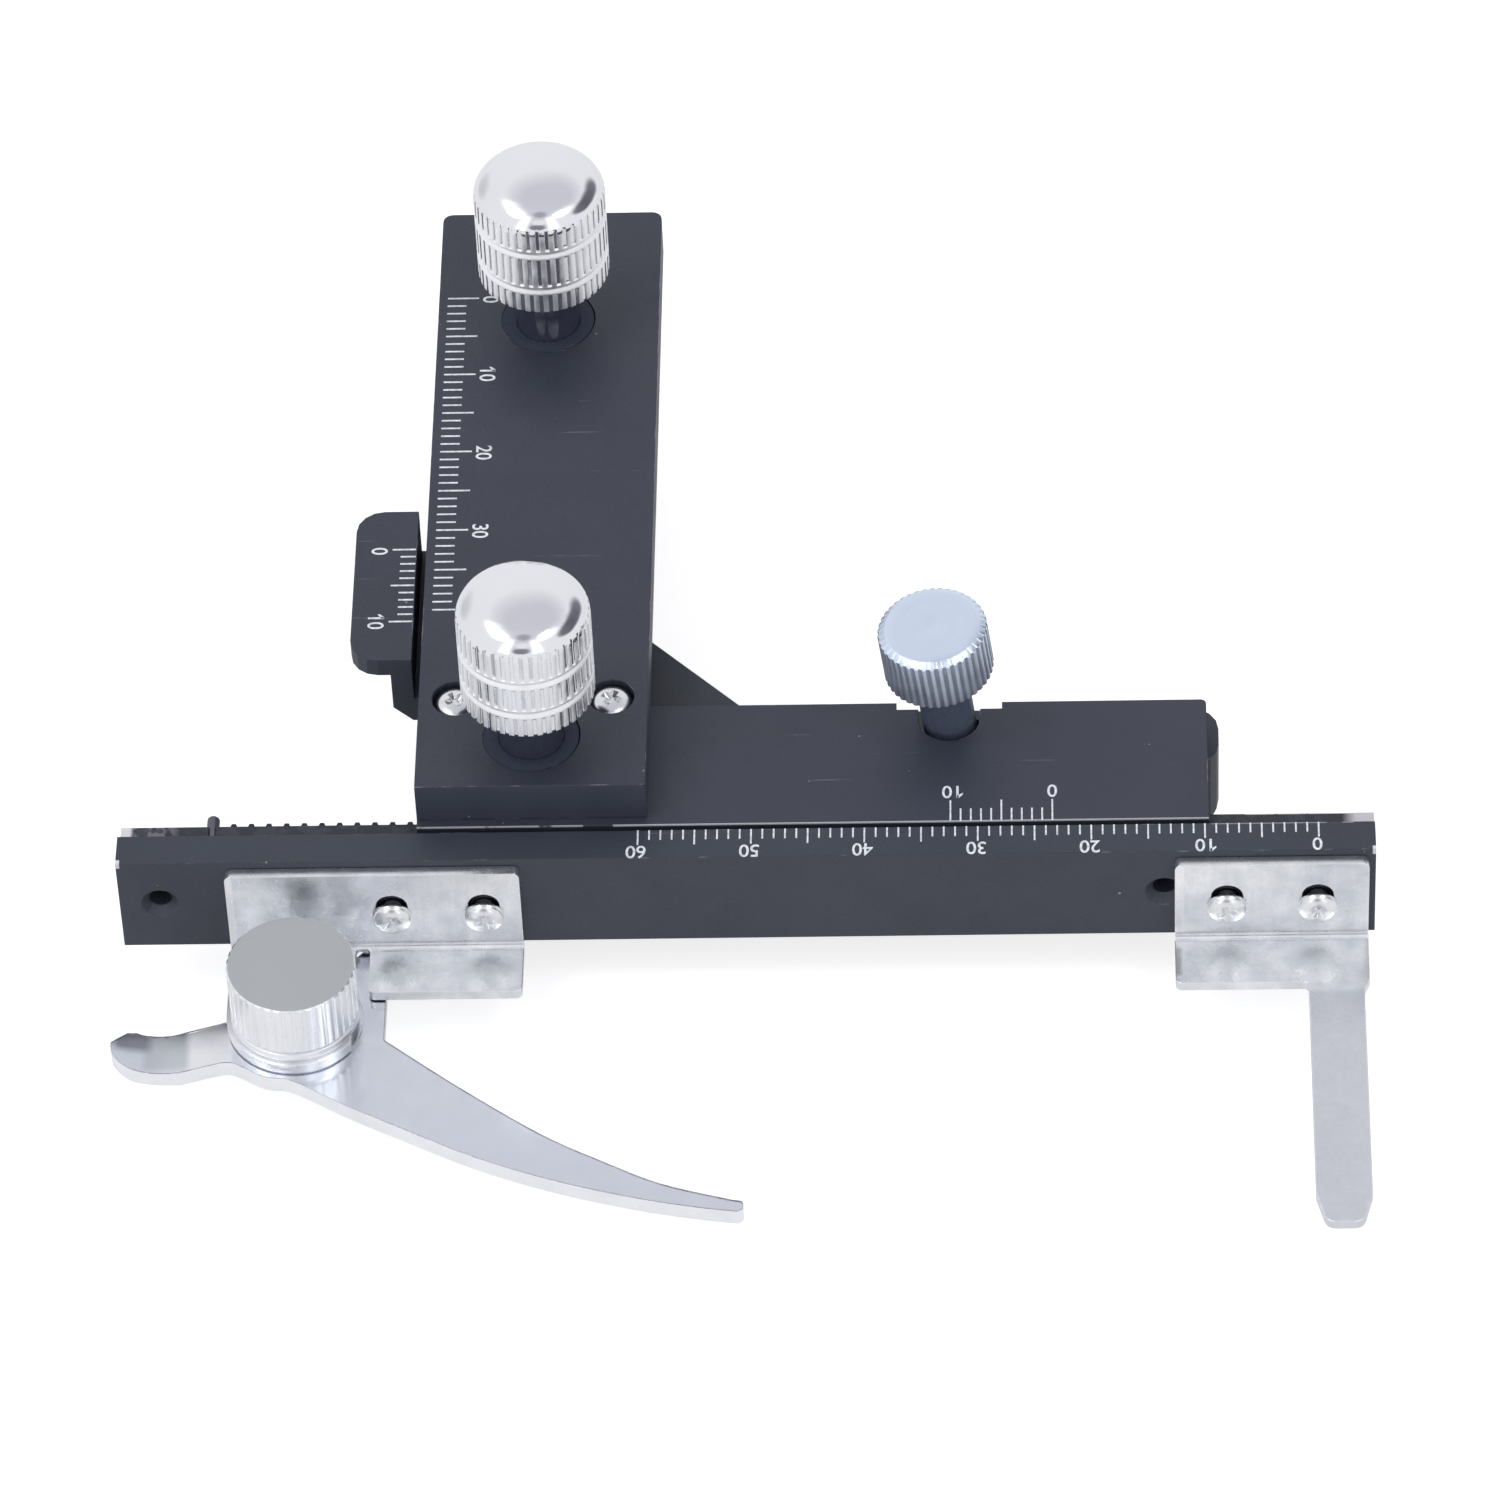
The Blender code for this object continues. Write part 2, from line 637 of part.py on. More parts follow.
def make_y_rack():
    """The fixed rack in the base's slot, with its teeth towards the pinion at -X."""
    low = drive_slot_front_y + gap - rear_axis_y
    high = leg_rear_y - gap - rear_axis_y
    first = int(low / tooth_pitch)
    last = int(high / tooth_pitch)
    profile = rack_outline(first + 1, last - 1, low, high, -y_rack_width, -tooth_root)
    outline = [(pitch_radius - b, rear_axis_y + a) for a, b in profile]
    rack = add_object("y_rack", prism_mesh(outline, y_rack_bottom_z, y_rack_top_z), steel)
    hole_top = y_rack_bottom_z + y_rack_height / 2
    for end, y in zip(("front", "rear"), y_rack_screw_places):
        place = (y_rack_screw_x, y, 0)
        hole = disc_profile(y_rack_screw_radius + running_gap / 2, 0, hole_top)
        cut(rack, turned_mesh(hole, pin_segments), "y_rack_hole_cutter_" + end, place)
        profile = y_rack_screw_profile(0, -running_gap, hole_top - running_gap)
        shape = turned_mesh(profile, pin_segments)
        screw = add_object("y_rack_screw_" + end, shape, steel, None, place, True)
        slot_place = (y_rack_screw_x, y, running_gap)
        slot_recess(screw, slot_place, y_rack_screw_head_radius, y_rack_screw_head_depth / 2, (pi, 0, 0))


def make_locating_pins():
    for side, x in zip(("left", "right"), pin_places_x):
        top = pin_seat_depth - running_gap
        chamfer = pin_radius / 4
        profile = [(0, -pin_reach), (pin_radius - chamfer, -pin_reach), (pin_radius, -pin_reach + chamfer)]
        profile += [(pin_radius, top), (0, top)]
        add_object("locating_pin_" + side, turned_mesh(profile, small_segments), steel, None, (x, 0, 0), True)


def make_vernier_bracket():
    """The tab that carries the Y vernier, with a riser and a foot screwed to the base's left side."""
    left = tab_right_x - tab_width
    under = bar_top_z - tab_thickness
    foot_right = -bar_half - foot_gap
    foot_low = foot_top_z - riser_foot_height
    rear = tab_front_y + tab_length
    outline = rounded_rectangle((left, tab_front_y), (tab_right_x, rear), (tab_corner, 0, 0, tab_corner))
    bracket = add_object("vernier_bracket", prism_mesh(outline, under, bar_top_z), black_paint)
    section = [(riser_left_x, under + tab_thickness / 2), (riser_left_x, foot_low + riser_chamfer)]
    section += [(riser_left_x + riser_chamfer, foot_low), (foot_right, foot_low), (foot_right, foot_top_z)]
    section += [(tab_right_x, foot_top_z), (tab_right_x, under + tab_thickness / 2)]
    join(bracket, prism_mesh(section, tab_front_y, rear - foot_gap, "Y"), "tab_riser_tool")
    for end, y in zip(("front", "rear"), vernier_screw_places):
        head = vernier_screw_head_radius
        shank = vernier_screw_radius
        clear = running_gap
        profile = [(0, -overrun), (head + clear, -overrun), (head + clear, 0), (shank + clear, 0)]
        profile += [(shank + clear, vernier_screw_length), (0, vernier_screw_length)]
        place = (vernier_screw_seat_x, y, vernier_screw_z)
        sideways = (0, pi / 2, 0)
        cut(bracket, turned_mesh(profile, small_segments), "tab_screw_cutter_" + end, place, sideways)
        height = vernier_screw_head_height
        profile = [(0, -height), (head * 3 / 4, -height), (head, -height / 2), (head, -contact_gap)]
        profile += [(shank, -contact_gap), (shank, vernier_screw_length), (0, vernier_screw_length)]
        shape = turned_mesh(profile, pin_segments)
        screw = add_object("vernier_screw_" + end, shape, steel, None, place, True)
        screw.rotation_euler = sideways
        top = (vernier_screw_seat_x - height, y, vernier_screw_z)
        slot_recess(screw, top, head, height / 2, (0, -pi / 2, 0))


def make_y_bar(carriage):
    corner_radii = (0, 0, bar_corner, bar_corner)
    outline = rounded_rectangle((-bar_half, bar_front_y), (bar_half, bar_rear_y), corner_radii)
    bar = add_fixed_shape("y_bar", prism_mesh(outline, bar_bottom_z, bar_top_z), black_paint, carriage)
    under = scale_plane_z - dovetail_depth
    inside = bar_bottom_z + bar_thickness / 4
    section = [(-dovetail_tail_half, under), (dovetail_tail_half, under), (dovetail_neck_half, scale_plane_z)]
    section += [(dovetail_neck_half, inside), (-dovetail_neck_half, inside)]
    section += [(-dovetail_neck_half, scale_plane_z)]
    rear = dovetail_front_y + dovetail_length
    join(bar, prism_mesh(section, dovetail_front_y, rear, "Y"), "bar_dovetail_tool")
    high = bar_top_z + overrun
    for end, y in zip(("front", "rear"), (front_axis_y, rear_axis_y)):
        ledge = bar_bottom_z + bush_ledge
        shaft = hub_radius + gap
        seat = bush_radius + running_gap
        profile = [(0, 0), (shaft, 0), (shaft, ledge), (seat, ledge), (seat, high), (0, high)]
        cut(bar, turned_mesh(profile, round_segments), "bar_bush_cutter_" + end, (0, y, 0))
    for side, (x, y) in zip(("left", "right"), guide_screw_places):
        floor = bar_top_z - guide_screw_mouth_depth
        shank = guide_screw_radius + running_gap
        mouth = guide_screw_mouth_radius
        profile = [(0, 0), (shank, 0), (shank, floor), (mouth, floor), (mouth, high), (0, high)]
        cut(bar, turned_mesh(profile, small_segments), "bar_screw_cutter_" + side, (x, y, 0))


def make_guide_screws(carriage):
    for side, (x, y) in zip(("left", "right"), guide_screw_places):
        seat = bar_top_z - guide_screw_mouth_depth + contact_gap
        rim = seat + guide_screw_head_height
        tip = plate_bottom_z - guide_pad_drop + gap
        profile = [(0, tip), (guide_screw_radius, tip), (guide_screw_radius, seat)]
        profile += [(guide_screw_head_radius, seat)]
        profile += dome_profile(guide_screw_head_radius, rim, guide_screw_crown, 3)
        mesh = turned_mesh(profile, small_segments)
        screw = add_object("guide_screw_" + side, mesh, nickel_plate, carriage, (x, y, 0), True)
        depth = guide_screw_crown + guide_screw_head_height * cross_depth_share
        cross_recess(screw, (x, y, rim + guide_screw_crown), guide_screw_head_radius, depth)


def make_bushes(carriage):
    for name, y in (("front_bush", front_axis_y), ("rear_bush", rear_axis_y)):
        low = bar_bottom_z + bush_ledge + contact_gap
        high = bar_top_z - bush_recess
        bore = hub_radius + running_gap
        profile = [(bore, low), (bush_radius, low), (bush_radius, high), (bore, high)]
        add_object(name, turned_mesh(profile, round_segments), dark_metal, carriage, (0, y, 0), True)


def tongue_section(start_y, clearance):
    """The rail's dovetail tongue as seen along X, grown by a clearance for the guide's groove."""
    rear = rail_rear_y + tongue_depth + clearance
    neck = tongue_neck_half + clearance
    tail = tongue_tail_half + clearance
    below = [(start_y, tongue_z - neck), (rail_rear_y, tongue_z - neck), (rear, tongue_z - tail)]
    return [*below, (rear, tongue_z + tail), (rail_rear_y, tongue_z + neck), (start_y, tongue_z + neck)]


def make_x_guide(carriage):
    outline = rounded_rectangle((guide_left_x, guide_front_y), (guide_right_x, guide_rear_y),
                                (0, 0, guide_corner, guide_corner))
    plate = prism_mesh(outline, plate_bottom_z, scale_plane_z)
    guide = add_fixed_shape("x_guide", plate, black_paint, carriage)
    inside = plate_bottom_z + guide_plate_thickness / 2
    block_bottom = scale_plane_z - guide_block_drop
    block = box_mesh((guide_left_x, guide_front_y, block_bottom), (guide_right_x, guide_block_rear_y, inside))
    join(guide, block, "guide_block_tool")
    for side, (x, y) in zip(("left", "right"), guide_screw_places):
        low = (x - guide_pad_half, guide_block_rear_y - guide_pad_half, plate_bottom_z - guide_pad_drop)
        high = (x + guide_pad_half, guide_screw_y + guide_pad_half, inside)
        join(guide, box_mesh(low, high), "guide_pad_tool_" + side)
    before = guide_front_y - overrun
    left = guide_left_x - overrun
    right = guide_right_x + overrun
    rack_rear = rail_rear_y + stop_pin_reach + gap
    channel = box_mesh((left, before, x_pocket_floor_z), (right, rack_rear, ledge_top_z + running_gap))
    cut(guide, channel, "guide_rack_channel_cutter")
    groove = prism_mesh(tongue_section(rail_front_y, running_gap), left, right, "X")
    cut(guide, groove, "guide_tongue_groove_cutter")
    ceiling = plate_bottom_z - running_gap
    shaft = hub_radius + gap
    high = bar_top_z
    profile = [(0, x_pocket_floor_z), (pinion_reach, x_pocket_floor_z), (pinion_reach, ceiling)]
    profile += [(shaft, ceiling), (shaft, high), (0, high)]
    cut(guide, turned_mesh(profile, round_segments), "guide_pinion_pocket_cutter", (0, front_axis_y, 0))
    for side, (x, y) in zip(("left", "right"), guide_screw_places):
        hole = turned_mesh(disc_profile(guide_screw_radius + running_gap, 0, high), small_segments)
        cut(guide, hole, "guide_screw_hole_cutter_" + side, (x, y, 0))
    low = plate_bottom_z - overrun
    notch_y = guide_rear_y - notch_reach + notch_radius
    behind = guide_rear_y + overrun
    notch = [(notch_x + notch_radius, behind), (notch_x - notch_radius, behind)]
    notch += arc((notch_x, notch_y), notch_radius, pi, 2 * pi, 12)
    cut(guide, prism_mesh(notch, low, high), "guide_notch_cutter")
    relief = box_mesh((notch_x - relief_width / 2, guide_rear_y - relief_depth, low),
                      (notch_x + relief_width / 2, guide_rear_y + overrun, high))
    cut(guide, relief, "guide_relief_cutter")


def make_drive(name, axis_y, knob_lift, pinion_low, pinion_high, tilt, group):
    """A domed knob on a spindle whose lower end carries the pinion."""
    knob_low = bar_top_z + knob_lift
    bore_top = knob_low + knob_bore_depth
    place = (0, axis_y, 0)
    seat = knob_low - contact_gap
    profile = [(0, pinion_high - gap), (hub_radius, pinion_high - gap), (hub_radius, seat)]
    profile += [(spindle_radius, seat), (spindle_radius, bore_top), (0, bore_top)]
    shaft = turned_mesh(profile, small_segments)
    shaft = add_object(name + "_pinion_shaft", shaft, dark_metal, group, place, True)
    pinion = prism_mesh(pinion_outline(tilt), pinion_low, pinion_high)
    join(shaft, pinion, name + "_pinion_tool", place)
    bore = spindle_radius + running_gap
    ceiling = bore_top + running_gap
    body = [(0, ceiling), (bore, ceiling), (bore, knob_low), (knob_radius, knob_low)]
    for height in (knob_low_groove, knob_high_groove):
        middle = knob_low + height
        half = knob_groove_width / 2
        body += [(knob_radius, middle - half), (knob_radius - knob_groove_depth, middle)]
        body += [(knob_radius, middle + half)]
    body += dome_profile(knob_radius, knob_low + knob_straight, knob_dome, dome_steps)
    add_object(name + "_knob", turned_mesh(body, round_segments), bright_chrome, group, place, True)


def make_x_rail(rail):
    low = (rail_left_x, rail_front_y, scale_plane_z - rail_height)
    high = (rail_right_x, rail_rear_y, scale_plane_z)
    body = add_fixed_shape("x_rail", box_mesh(low, high), black_paint, rail)
    ends = (rail_left_x + rack_end_inset, rail_right_x - rack_end_inset)
    tongue = tongue_section(rail_rear_y - rail_depth / 2, 0)
    join(body, prism_mesh(tongue, *ends, "X"), "rail_tongue_tool")
    ledge_low = (rail_left_x, rail_rear_y - rail_depth / 2, ledge_top_z - ledge_thickness)
    join(body, box_mesh(ledge_low, (rail_right_x, rail_rear_y + ledge_depth, ledge_top_z)), "rail_ledge_tool")
    inwards = (-pi / 2, 0, 0)
    depth = rail_depth + overrun
    hole_places = (rail_left_x + rail_hole_inset, rail_right_x - rail_hole_right_inset)
    for side, x in zip(("left", "right"), hole_places):
        profile = [(0, -overrun), (rail_hole_mouth + overrun, -overrun)]
        profile += [(rail_hole_radius, rail_hole_mouth - rail_hole_radius)]
        profile += [(rail_hole_radius, depth), (0, depth)]
        place = (x, rail_front_y, scale_plane_z - rail_hole_drop)
        cut(body, turned_mesh(profile, small_segments), "rail_hole_cutter_" + side, place, inwards)
    for number, x in enumerate((*left_screw_places_x, *right_screw_places_x)):
        profile = disc_profile(bracket_screw_radius + running_gap, -overrun, rail_depth - gap)
        place = (x, rail_front_y, bracket_screw_z)
        cut(body, turned_mesh(profile, small_segments), "rail_screw_cutter_" + str(number), place, inwards)
    for side, x in (("left", stop_pin_left_x), ("right", stop_pin_right_x)):
        profile = disc_profile(stop_pin_radius + running_gap / 2, -stop_pin_reach, rail_depth / 2)
        place = (x, rail_rear_y, stop_pin_z)
        cut(body, turned_mesh(profile, pin_segments), "rail_pin_cutter_" + side, place, (pi / 2, 0, 0))


def make_x_rack(rail):
    """The rack pinned behind the rail, with its teeth towards the pinion and plain ends past the pins."""
    first = int((stop_pin_left_x + stop_pin_radius) / tooth_pitch)
    last = int((stop_pin_right_x - stop_pin_radius) / tooth_pitch)
    ends = (rail_left_x + rack_end_inset, rail_right_x - rack_end_inset)
    back = rail_rear_y + contact_gap - x_pitch_y
    profile = rack_outline(first, last, *ends, back, x_rack_plain_rise)
    outline = [(a, x_pitch_y + b) for a, b in profile]
    rack = add_fixed_shape("x_rack", prism_mesh(outline, x_rack_bottom_z, x_rack_top_z), dark_metal, rail)
    backwards = (-pi / 2, 0, 0)
    for side, x in (("left", stop_pin_left_x), ("right", stop_pin_right_x)):
        place = (x, rail_rear_y, stop_pin_z)
        hole = disc_profile(stop_pin_radius + running_gap / 2, -overrun, stop_pin_reach + overrun)
        cut(rack, turned_mesh(hole, pin_segments), "rack_pin_cutter_" + side, place, backwards)
        start = running_gap - rail_depth / 2
        chamfer = stop_pin_radius / 3
        profile = [(0, start), (stop_pin_radius, start), (stop_pin_radius, stop_pin_reach - chamfer)]
        profile += [(stop_pin_radius - chamfer, stop_pin_reach), (0, stop_pin_reach)]
        pin = add_object("stop_pin_" + side, turned_mesh(profile, pin_segments), steel, rail, place, True)
        pin.rotation_euler = backwards


def bent_section():
    """The bracket sheet as seen along X: a flange on the rail's face, a bend, and a shelf to the front."""
    face = bracket_back_y - sheet
    flange_top = scale_plane_z - flange_top_drop
    centre = (face - bend_radius, shelf_top_z + bend_radius)
    outside = arc(centre, bend_radius + sheet, -pi / 2, 0, bend_steps)
    inside = arc(centre, bend_radius, 0, -pi / 2, bend_steps)
    start = (shelf_front_y, shelf_bottom_z)
    top = [(bracket_back_y, flange_top), (face, flange_top)]
    return [start, *outside, *top, *inside, (shelf_front_y, shelf_top_z)]


def cut_bracket_slots(bracket, places):
    """Upright slots through the flange, so that the bracket's height can be set."""
    half = bracket_slot_width / 2
    middle = bracket_screw_z + bracket_slot_rise
    high = middle + bracket_slot_height / 2 - half
    low = middle - bracket_slot_height / 2 + half
    for number, x in enumerate(places):
        outline = arc((x, high), half, 0, pi, 8) + arc((x, low), half, pi, 2 * pi, 8)
        mesh = prism_mesh(outline, bracket_back_y - sheet - overrun, rail_front_y + gap, "Y")
        cut(bracket, mesh, bracket.name + "_slot_cutter_" + str(number))


def make_left_bracket(rail):
    mesh = prism_mesh(bent_section(), left_flange_left_x, left_flange_right_x, "X")
    bracket = add_fixed_shape("left_bracket", mesh, zinc_plate, rail)
    reach = lug_right_x - pivot_x
    turn = -atan2(sqrt(lug_radius ** 2 - reach ** 2), reach)
    lug_root = shelf_front_y + sheet
    lug = arc((pivot_x, pivot_y), lug_radius, -pi, turn, 14)
    lug += [(lug_right_x, lug_root), (left_flange_left_x, lug_root)]
    lug[0] = (left_flange_left_x, pivot_y)
    join(bracket, prism_mesh(lug, shelf_bottom_z, shelf_top_z), "left_bracket_lug_tool")
    slot_low = (lug_right_x, pivot_y - lug_radius, 0)
    slot_high = (left_shelf_left_x, rail_front_y + gap, shelf_top_z + bend_radius)
    cut(bracket, box_mesh(slot_low, slot_high), "left_bracket_gap_cutter")
    hole = turned_mesh(disc_profile(pivot_post_radius + running_gap, 0, scale_plane_z), small_segments)
    cut(bracket, hole, "left_bracket_post_cutter", (pivot_x, pivot_y, 0))
    cut_bracket_slots(bracket, left_screw_places_x)


def make_right_bracket(rail):
    mesh = prism_mesh(bent_section(), right_flange_left_x, right_flange_right_x, "X")
    bracket = add_fixed_shape("right_bracket", mesh, zinc_plate, rail)
    right = right_flange_right_x - holder_finger_inset
    left = right - holder_finger_width
    root = shelf_front_y + sheet
    tip = rail_front_y - holder_finger_reach
    taper = holder_finger_taper
    quarter = holder_finger_width / 4
    left_side = [(left, root), (left, tip + taper)]
    left_side += [(left + quarter / 2, tip + taper / 3), (left + quarter, tip)]
    right_side = [(right - quarter, tip), (right - quarter / 2, tip + taper / 3)]
    right_side += [(right, tip + taper), (right, root)]
    finger = prism_mesh(left_side + right_side, shelf_bottom_z, shelf_top_z)
    join(bracket, finger, "right_bracket_finger_tool")
    cut_bracket_slots(bracket, right_screw_places_x)


def make_bracket_screws(rail):
    places = (*left_screw_places_x, *right_screw_places_x)
    names = ("left_bracket_screw_a", "left_bracket_screw_b", "right_bracket_screw_a", "right_bracket_screw_b")
    outwards = (pi / 2, 0, 0)
    face = bracket_back_y - sheet - contact_gap
    head = bracket_screw_head_radius
    height = bracket_screw_head_height
    for name, x in zip(names, places):
        profile = [(0, -bracket_screw_length - sheet), (bracket_screw_radius, -bracket_screw_length - sheet)]
        profile += [(bracket_screw_radius, 0), (head, 0), *dome_profile(head, height / 3, height * 2 / 3, 4)]
        place = (x, face, bracket_screw_z)
        screw = add_object(name, turned_mesh(profile, small_segments), nickel_plate, rail, place, True)
        screw.rotation_euler = outwards
        cross_recess(screw, (x, face - height, bracket_screw_z), head, height * cross_depth_share, outwards)


def make_pivot(rail):
    """The post riveted below the arm, the washer on the lug, and the torsion spring inside the knob."""
    place = (pivot_x, pivot_y, 0)
    foot = arm_bottom_z + contact_gap
    top = pivot_knob_ceiling_z - gap
    profile = [(0, foot), (pivot_rivet_radius, foot), (pivot_post_radius, foot + pivot_rivet_height)]
    profile += [(pivot_post_radius, top), (0, top)]
    add_object("pivot_post", turned_mesh(profile, small_segments), steel, rail, place, True)
    bore = pivot_post_radius + running_gap
    high = pivot_washer_z + pivot_washer_thickness
    profile = [(bore, pivot_washer_z), (pivot_washer_radius, pivot_washer_z)]
    profile += [(pivot_washer_radius, high), (bore, high)]
    add_object("pivot_washer", turned_mesh(profile, round_segments), bright_chrome, rail, place, True)
    bm = bmesh.new()
    rings = []
    start = pivot_knob_bottom_z + 2 * spring_wire_radius
    sides = [2 * pi * side / spring_sides for side in range(spring_sides)]
    for step in range(spring_turns * spring_steps_per_turn + 1):
        turn = 2 * pi * step / spring_steps_per_turn
        out = Vector((cos(turn), sin(turn), 0))
        centre = out * spring_radius + Vector((0, 0, start + spring_pitch * turn / (2 * pi)))
        around = [out * cos(t) + Vector((0, 0, sin(t))) for t in sides]
        rings.append([bm.verts.new(centre + way * spring_wire_radius) for way in around])
    for first, second in zip(rings, rings[1:]):
        for side in range(spring_sides):
            after = (side + 1) % spring_sides
            bm.faces.new((first[side], second[side], second[after], first[after]))
    bm.faces.new(rings[0])
    bm.faces.new(rings[-1][::-1])
    add_object("arm_spring", finish_mesh("spring", bm), steel, rail, place, True)


def make_pivot_knob(group):
    low = pivot_knob_bottom_z
    top = low + pivot_knob_height
    inner = pivot_knob_radius - pivot_knob_wall
    edge = pivot_knob_edge
    profile = [(0, pivot_knob_ceiling_z), (inner, pivot_knob_ceiling_z)]
    profile += [(inner, low), (pivot_knob_radius - edge, low)]
    profile += [(pivot_knob_radius, low + edge), (pivot_knob_radius, top - edge)]
    profile += [(pivot_knob_radius - edge, top), (0, top)]
    mesh = turned_mesh(profile, round_segments)
    add_object("pivot_knob", mesh, bright_chrome, group, (pivot_x, pivot_y, 0), True)


def arm_outline():
    """The swing arm in plan about its pivot, drawn clockwise from its tail."""
    heading = atan2(arm_root_drop - arm_finger_drop, arm_finger_length - arm_root_right) / 3 * 2
    tip = arc((arm_finger_length, -arm_finger_drop), arm_tip_radius, heading + pi / 2, heading - pi / 2, 6)
    root = (arm_root_right, -arm_root_drop)
    reach_x = tip[0][0] - root[0]
    reach_y = tip[0][1] - root[1]
    back = [(root[0] + reach_x * a, root[1] + reach_y * b) for a, b in finger_back_shares]
    belly = (0, -arm_belly_drop)
    front = [(tip[-1][0] * a, belly[1] + (tip[-1][1] - belly[1]) * b) for a, b in finger_front_shares]
    lever_front = [(-arm_lever_length * a, -arm_lever_drop * b) for a, b in lever_front_shares]
    lever_back = [(-arm_lever_length * a, -arm_lever_drop * b) for a, b in lever_back_shares]
    outline = [(arm_root_right, arm_tail_rear - arm_tail_corner)]
    outline += smooth_curve([root, *back, tip[0]], curve_steps)
    outline += tip[1:-1]
    outline += smooth_curve([tip[-1], *front, belly, *lever_front], curve_steps)
    outline += smooth_curve(lever_back, curve_steps)
    outline += arc((0, 0), arm_hub_radius, pi, pi / 3, 8)
    outline.append((arm_root_right - arm_tail_corner, arm_tail_rear))
    return outline


def make_swing_arm(group):
    outline = [(pivot_x + x, pivot_y + y) for x, y in arm_outline()]
    arm = add_fixed_shape("swing_arm", prism_mesh(outline, arm_bottom_z, arm_top_z), bright_chrome, group)
    bore = pivot_post_radius + running_gap
    rivet = pivot_rivet_radius + running_gap
    foot = arm_bottom_z + contact_gap
    high = arm_top_z + overrun
    profile = [(0, -overrun), (rivet, -overrun), (rivet, foot)]
    profile += [(bore, foot + pivot_rivet_height), (bore, high), (0, high)]
    cut(arm, turned_mesh(profile, small_segments), "arm_post_hole_cutter", (pivot_x, pivot_y, 0))


def make_clamp_screw(group):
    """The thumb screw: a knurled zinc knob with a blackened neck and stud pressed into it."""
    place = (clamp_x, clamp_y, scale_plane_z)
    lean = (clamp_lean_forward, -clamp_lean_left, 0)
    low = clamp_knob_lift
    top = low + clamp_knob_height
    socket = low + clamp_socket_depth
    bevel = clamp_knob_bevel
    radius = clamp_knob_radius
    bore = clamp_socket_radius + running_gap
    profile = [(0, socket), (bore, socket), (bore, low), (radius - bevel, low), (radius, low + bevel)]
    profile += [(radius, top - bevel), (radius - bevel, top), (0, top)]
    knob = add_object("clamp_knob", turned_mesh(profile, round_segments), zinc_plate, group, place, True)
    knob.rotation_euler = lean
    seat = low - contact_gap
    neck = -clamp_neck_end_drop
    tip = -scale_plane_z - clamp_stud_reach
    profile = [(0, tip), (clamp_tip_radius, tip), (clamp_stud_radius, tip + clamp_tip_length)]
    profile += [(clamp_stud_radius, neck), (clamp_neck_radius, neck), (clamp_neck_radius, seat)]
    ceiling = socket - running_gap
    profile += [(clamp_socket_radius, seat), (clamp_socket_radius, ceiling), (0, ceiling)]
    stud = add_object("clamp_stud", turned_mesh(profile, small_segments), dark_metal, group, place, True)
    stud.rotation_euler = lean


def build():
    clear_scene()
    carriage = add_empty("carriage_origin", (0, 0, scale_plane_z))
    y_axis = add_empty("y_drive_axis", (0, rear_axis_y, 0), carriage)
    x_axis = add_empty("x_drive_axis", (0, front_axis_y, 0), carriage)
    rail = add_empty("rail_origin", (0, rail_front_y, scale_plane_z), carriage)
    arm_axis = add_empty("arm_axis", (pivot_x, pivot_y, 0), rail)
    clamp_axis = add_empty("clamp_axis", (clamp_x, clamp_y, scale_plane_z))
    make_base()
    make_y_rack()
    make_locating_pins()
    make_vernier_bracket()
    make_y_bar(carriage)
    make_guide_screws(carriage)
    make_bushes(carriage)
    make_x_guide(carriage)
    make_drive("y", rear_axis_y, rear_knob_lift, y_rack_bottom_z, y_rack_top_z, 0, y_axis)
    pinion_low = x_rack_bottom_z + running_gap
    pinion_high = x_rack_top_z - gap
    make_drive("x", front_axis_y, front_knob_lift, pinion_low, pinion_high, pi / 2, x_axis)
    make_x_rail(rail)
    make_x_rack(rail)
    make_left_bracket(rail)
    make_right_bracket(rail)
    make_bracket_screws(rail)
    make_pivot(rail)
    make_pivot_knob(arm_axis)
    make_swing_arm(arm_axis)
    make_clamp_screw(clamp_axis)


build()
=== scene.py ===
from math import acos, cos, pi, radians, sin, sqrt

import bmesh
import bpy
from mathutils import Matrix, Vector
from mathutils.geometry import tessellate_polygon


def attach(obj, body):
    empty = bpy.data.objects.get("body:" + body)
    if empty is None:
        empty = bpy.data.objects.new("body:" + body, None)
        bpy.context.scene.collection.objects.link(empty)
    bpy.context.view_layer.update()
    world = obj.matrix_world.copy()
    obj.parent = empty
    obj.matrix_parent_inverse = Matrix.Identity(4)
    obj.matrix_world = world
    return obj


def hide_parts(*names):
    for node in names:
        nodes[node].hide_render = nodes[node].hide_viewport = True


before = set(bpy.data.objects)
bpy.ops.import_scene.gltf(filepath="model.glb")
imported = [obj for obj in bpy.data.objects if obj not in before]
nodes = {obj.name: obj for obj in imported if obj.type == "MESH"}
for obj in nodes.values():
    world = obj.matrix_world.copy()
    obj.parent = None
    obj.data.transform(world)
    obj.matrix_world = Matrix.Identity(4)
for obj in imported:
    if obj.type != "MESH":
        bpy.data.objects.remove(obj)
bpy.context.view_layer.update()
scene = bpy.context.scene
mm = 0.001
print("frame loaded:", len(nodes), "nodes")

# Everything below is in millimetres until meshFrom or mm scales it

# places in plan that several pieces share: the arm's pivot, the spindles and the brackets' screws
pivot = (-21.0, -25.75)
spindles = {"front": (0.0, -5.9), "rear": (0.0, 46.8)}
screwsX = {"left": (-12.5, -4.35), "right": (61.3, 69.3)}


def linked(name, data):
    thing = bpy.data.objects.new(name, data)
    scene.collection.objects.link(thing)
    return thing


# Camera, fitted to the two millimetre scales in the photograph

cameraSet = {
    "place": (48.0, -581.44, 629.56),
    "lens": 228.08,
    "sensor": 36.0,
    "elevation": 46.836,
    "turn": -2.857,
    "roll": -2.819,
    "clip": (50.0, 20000.0),
}


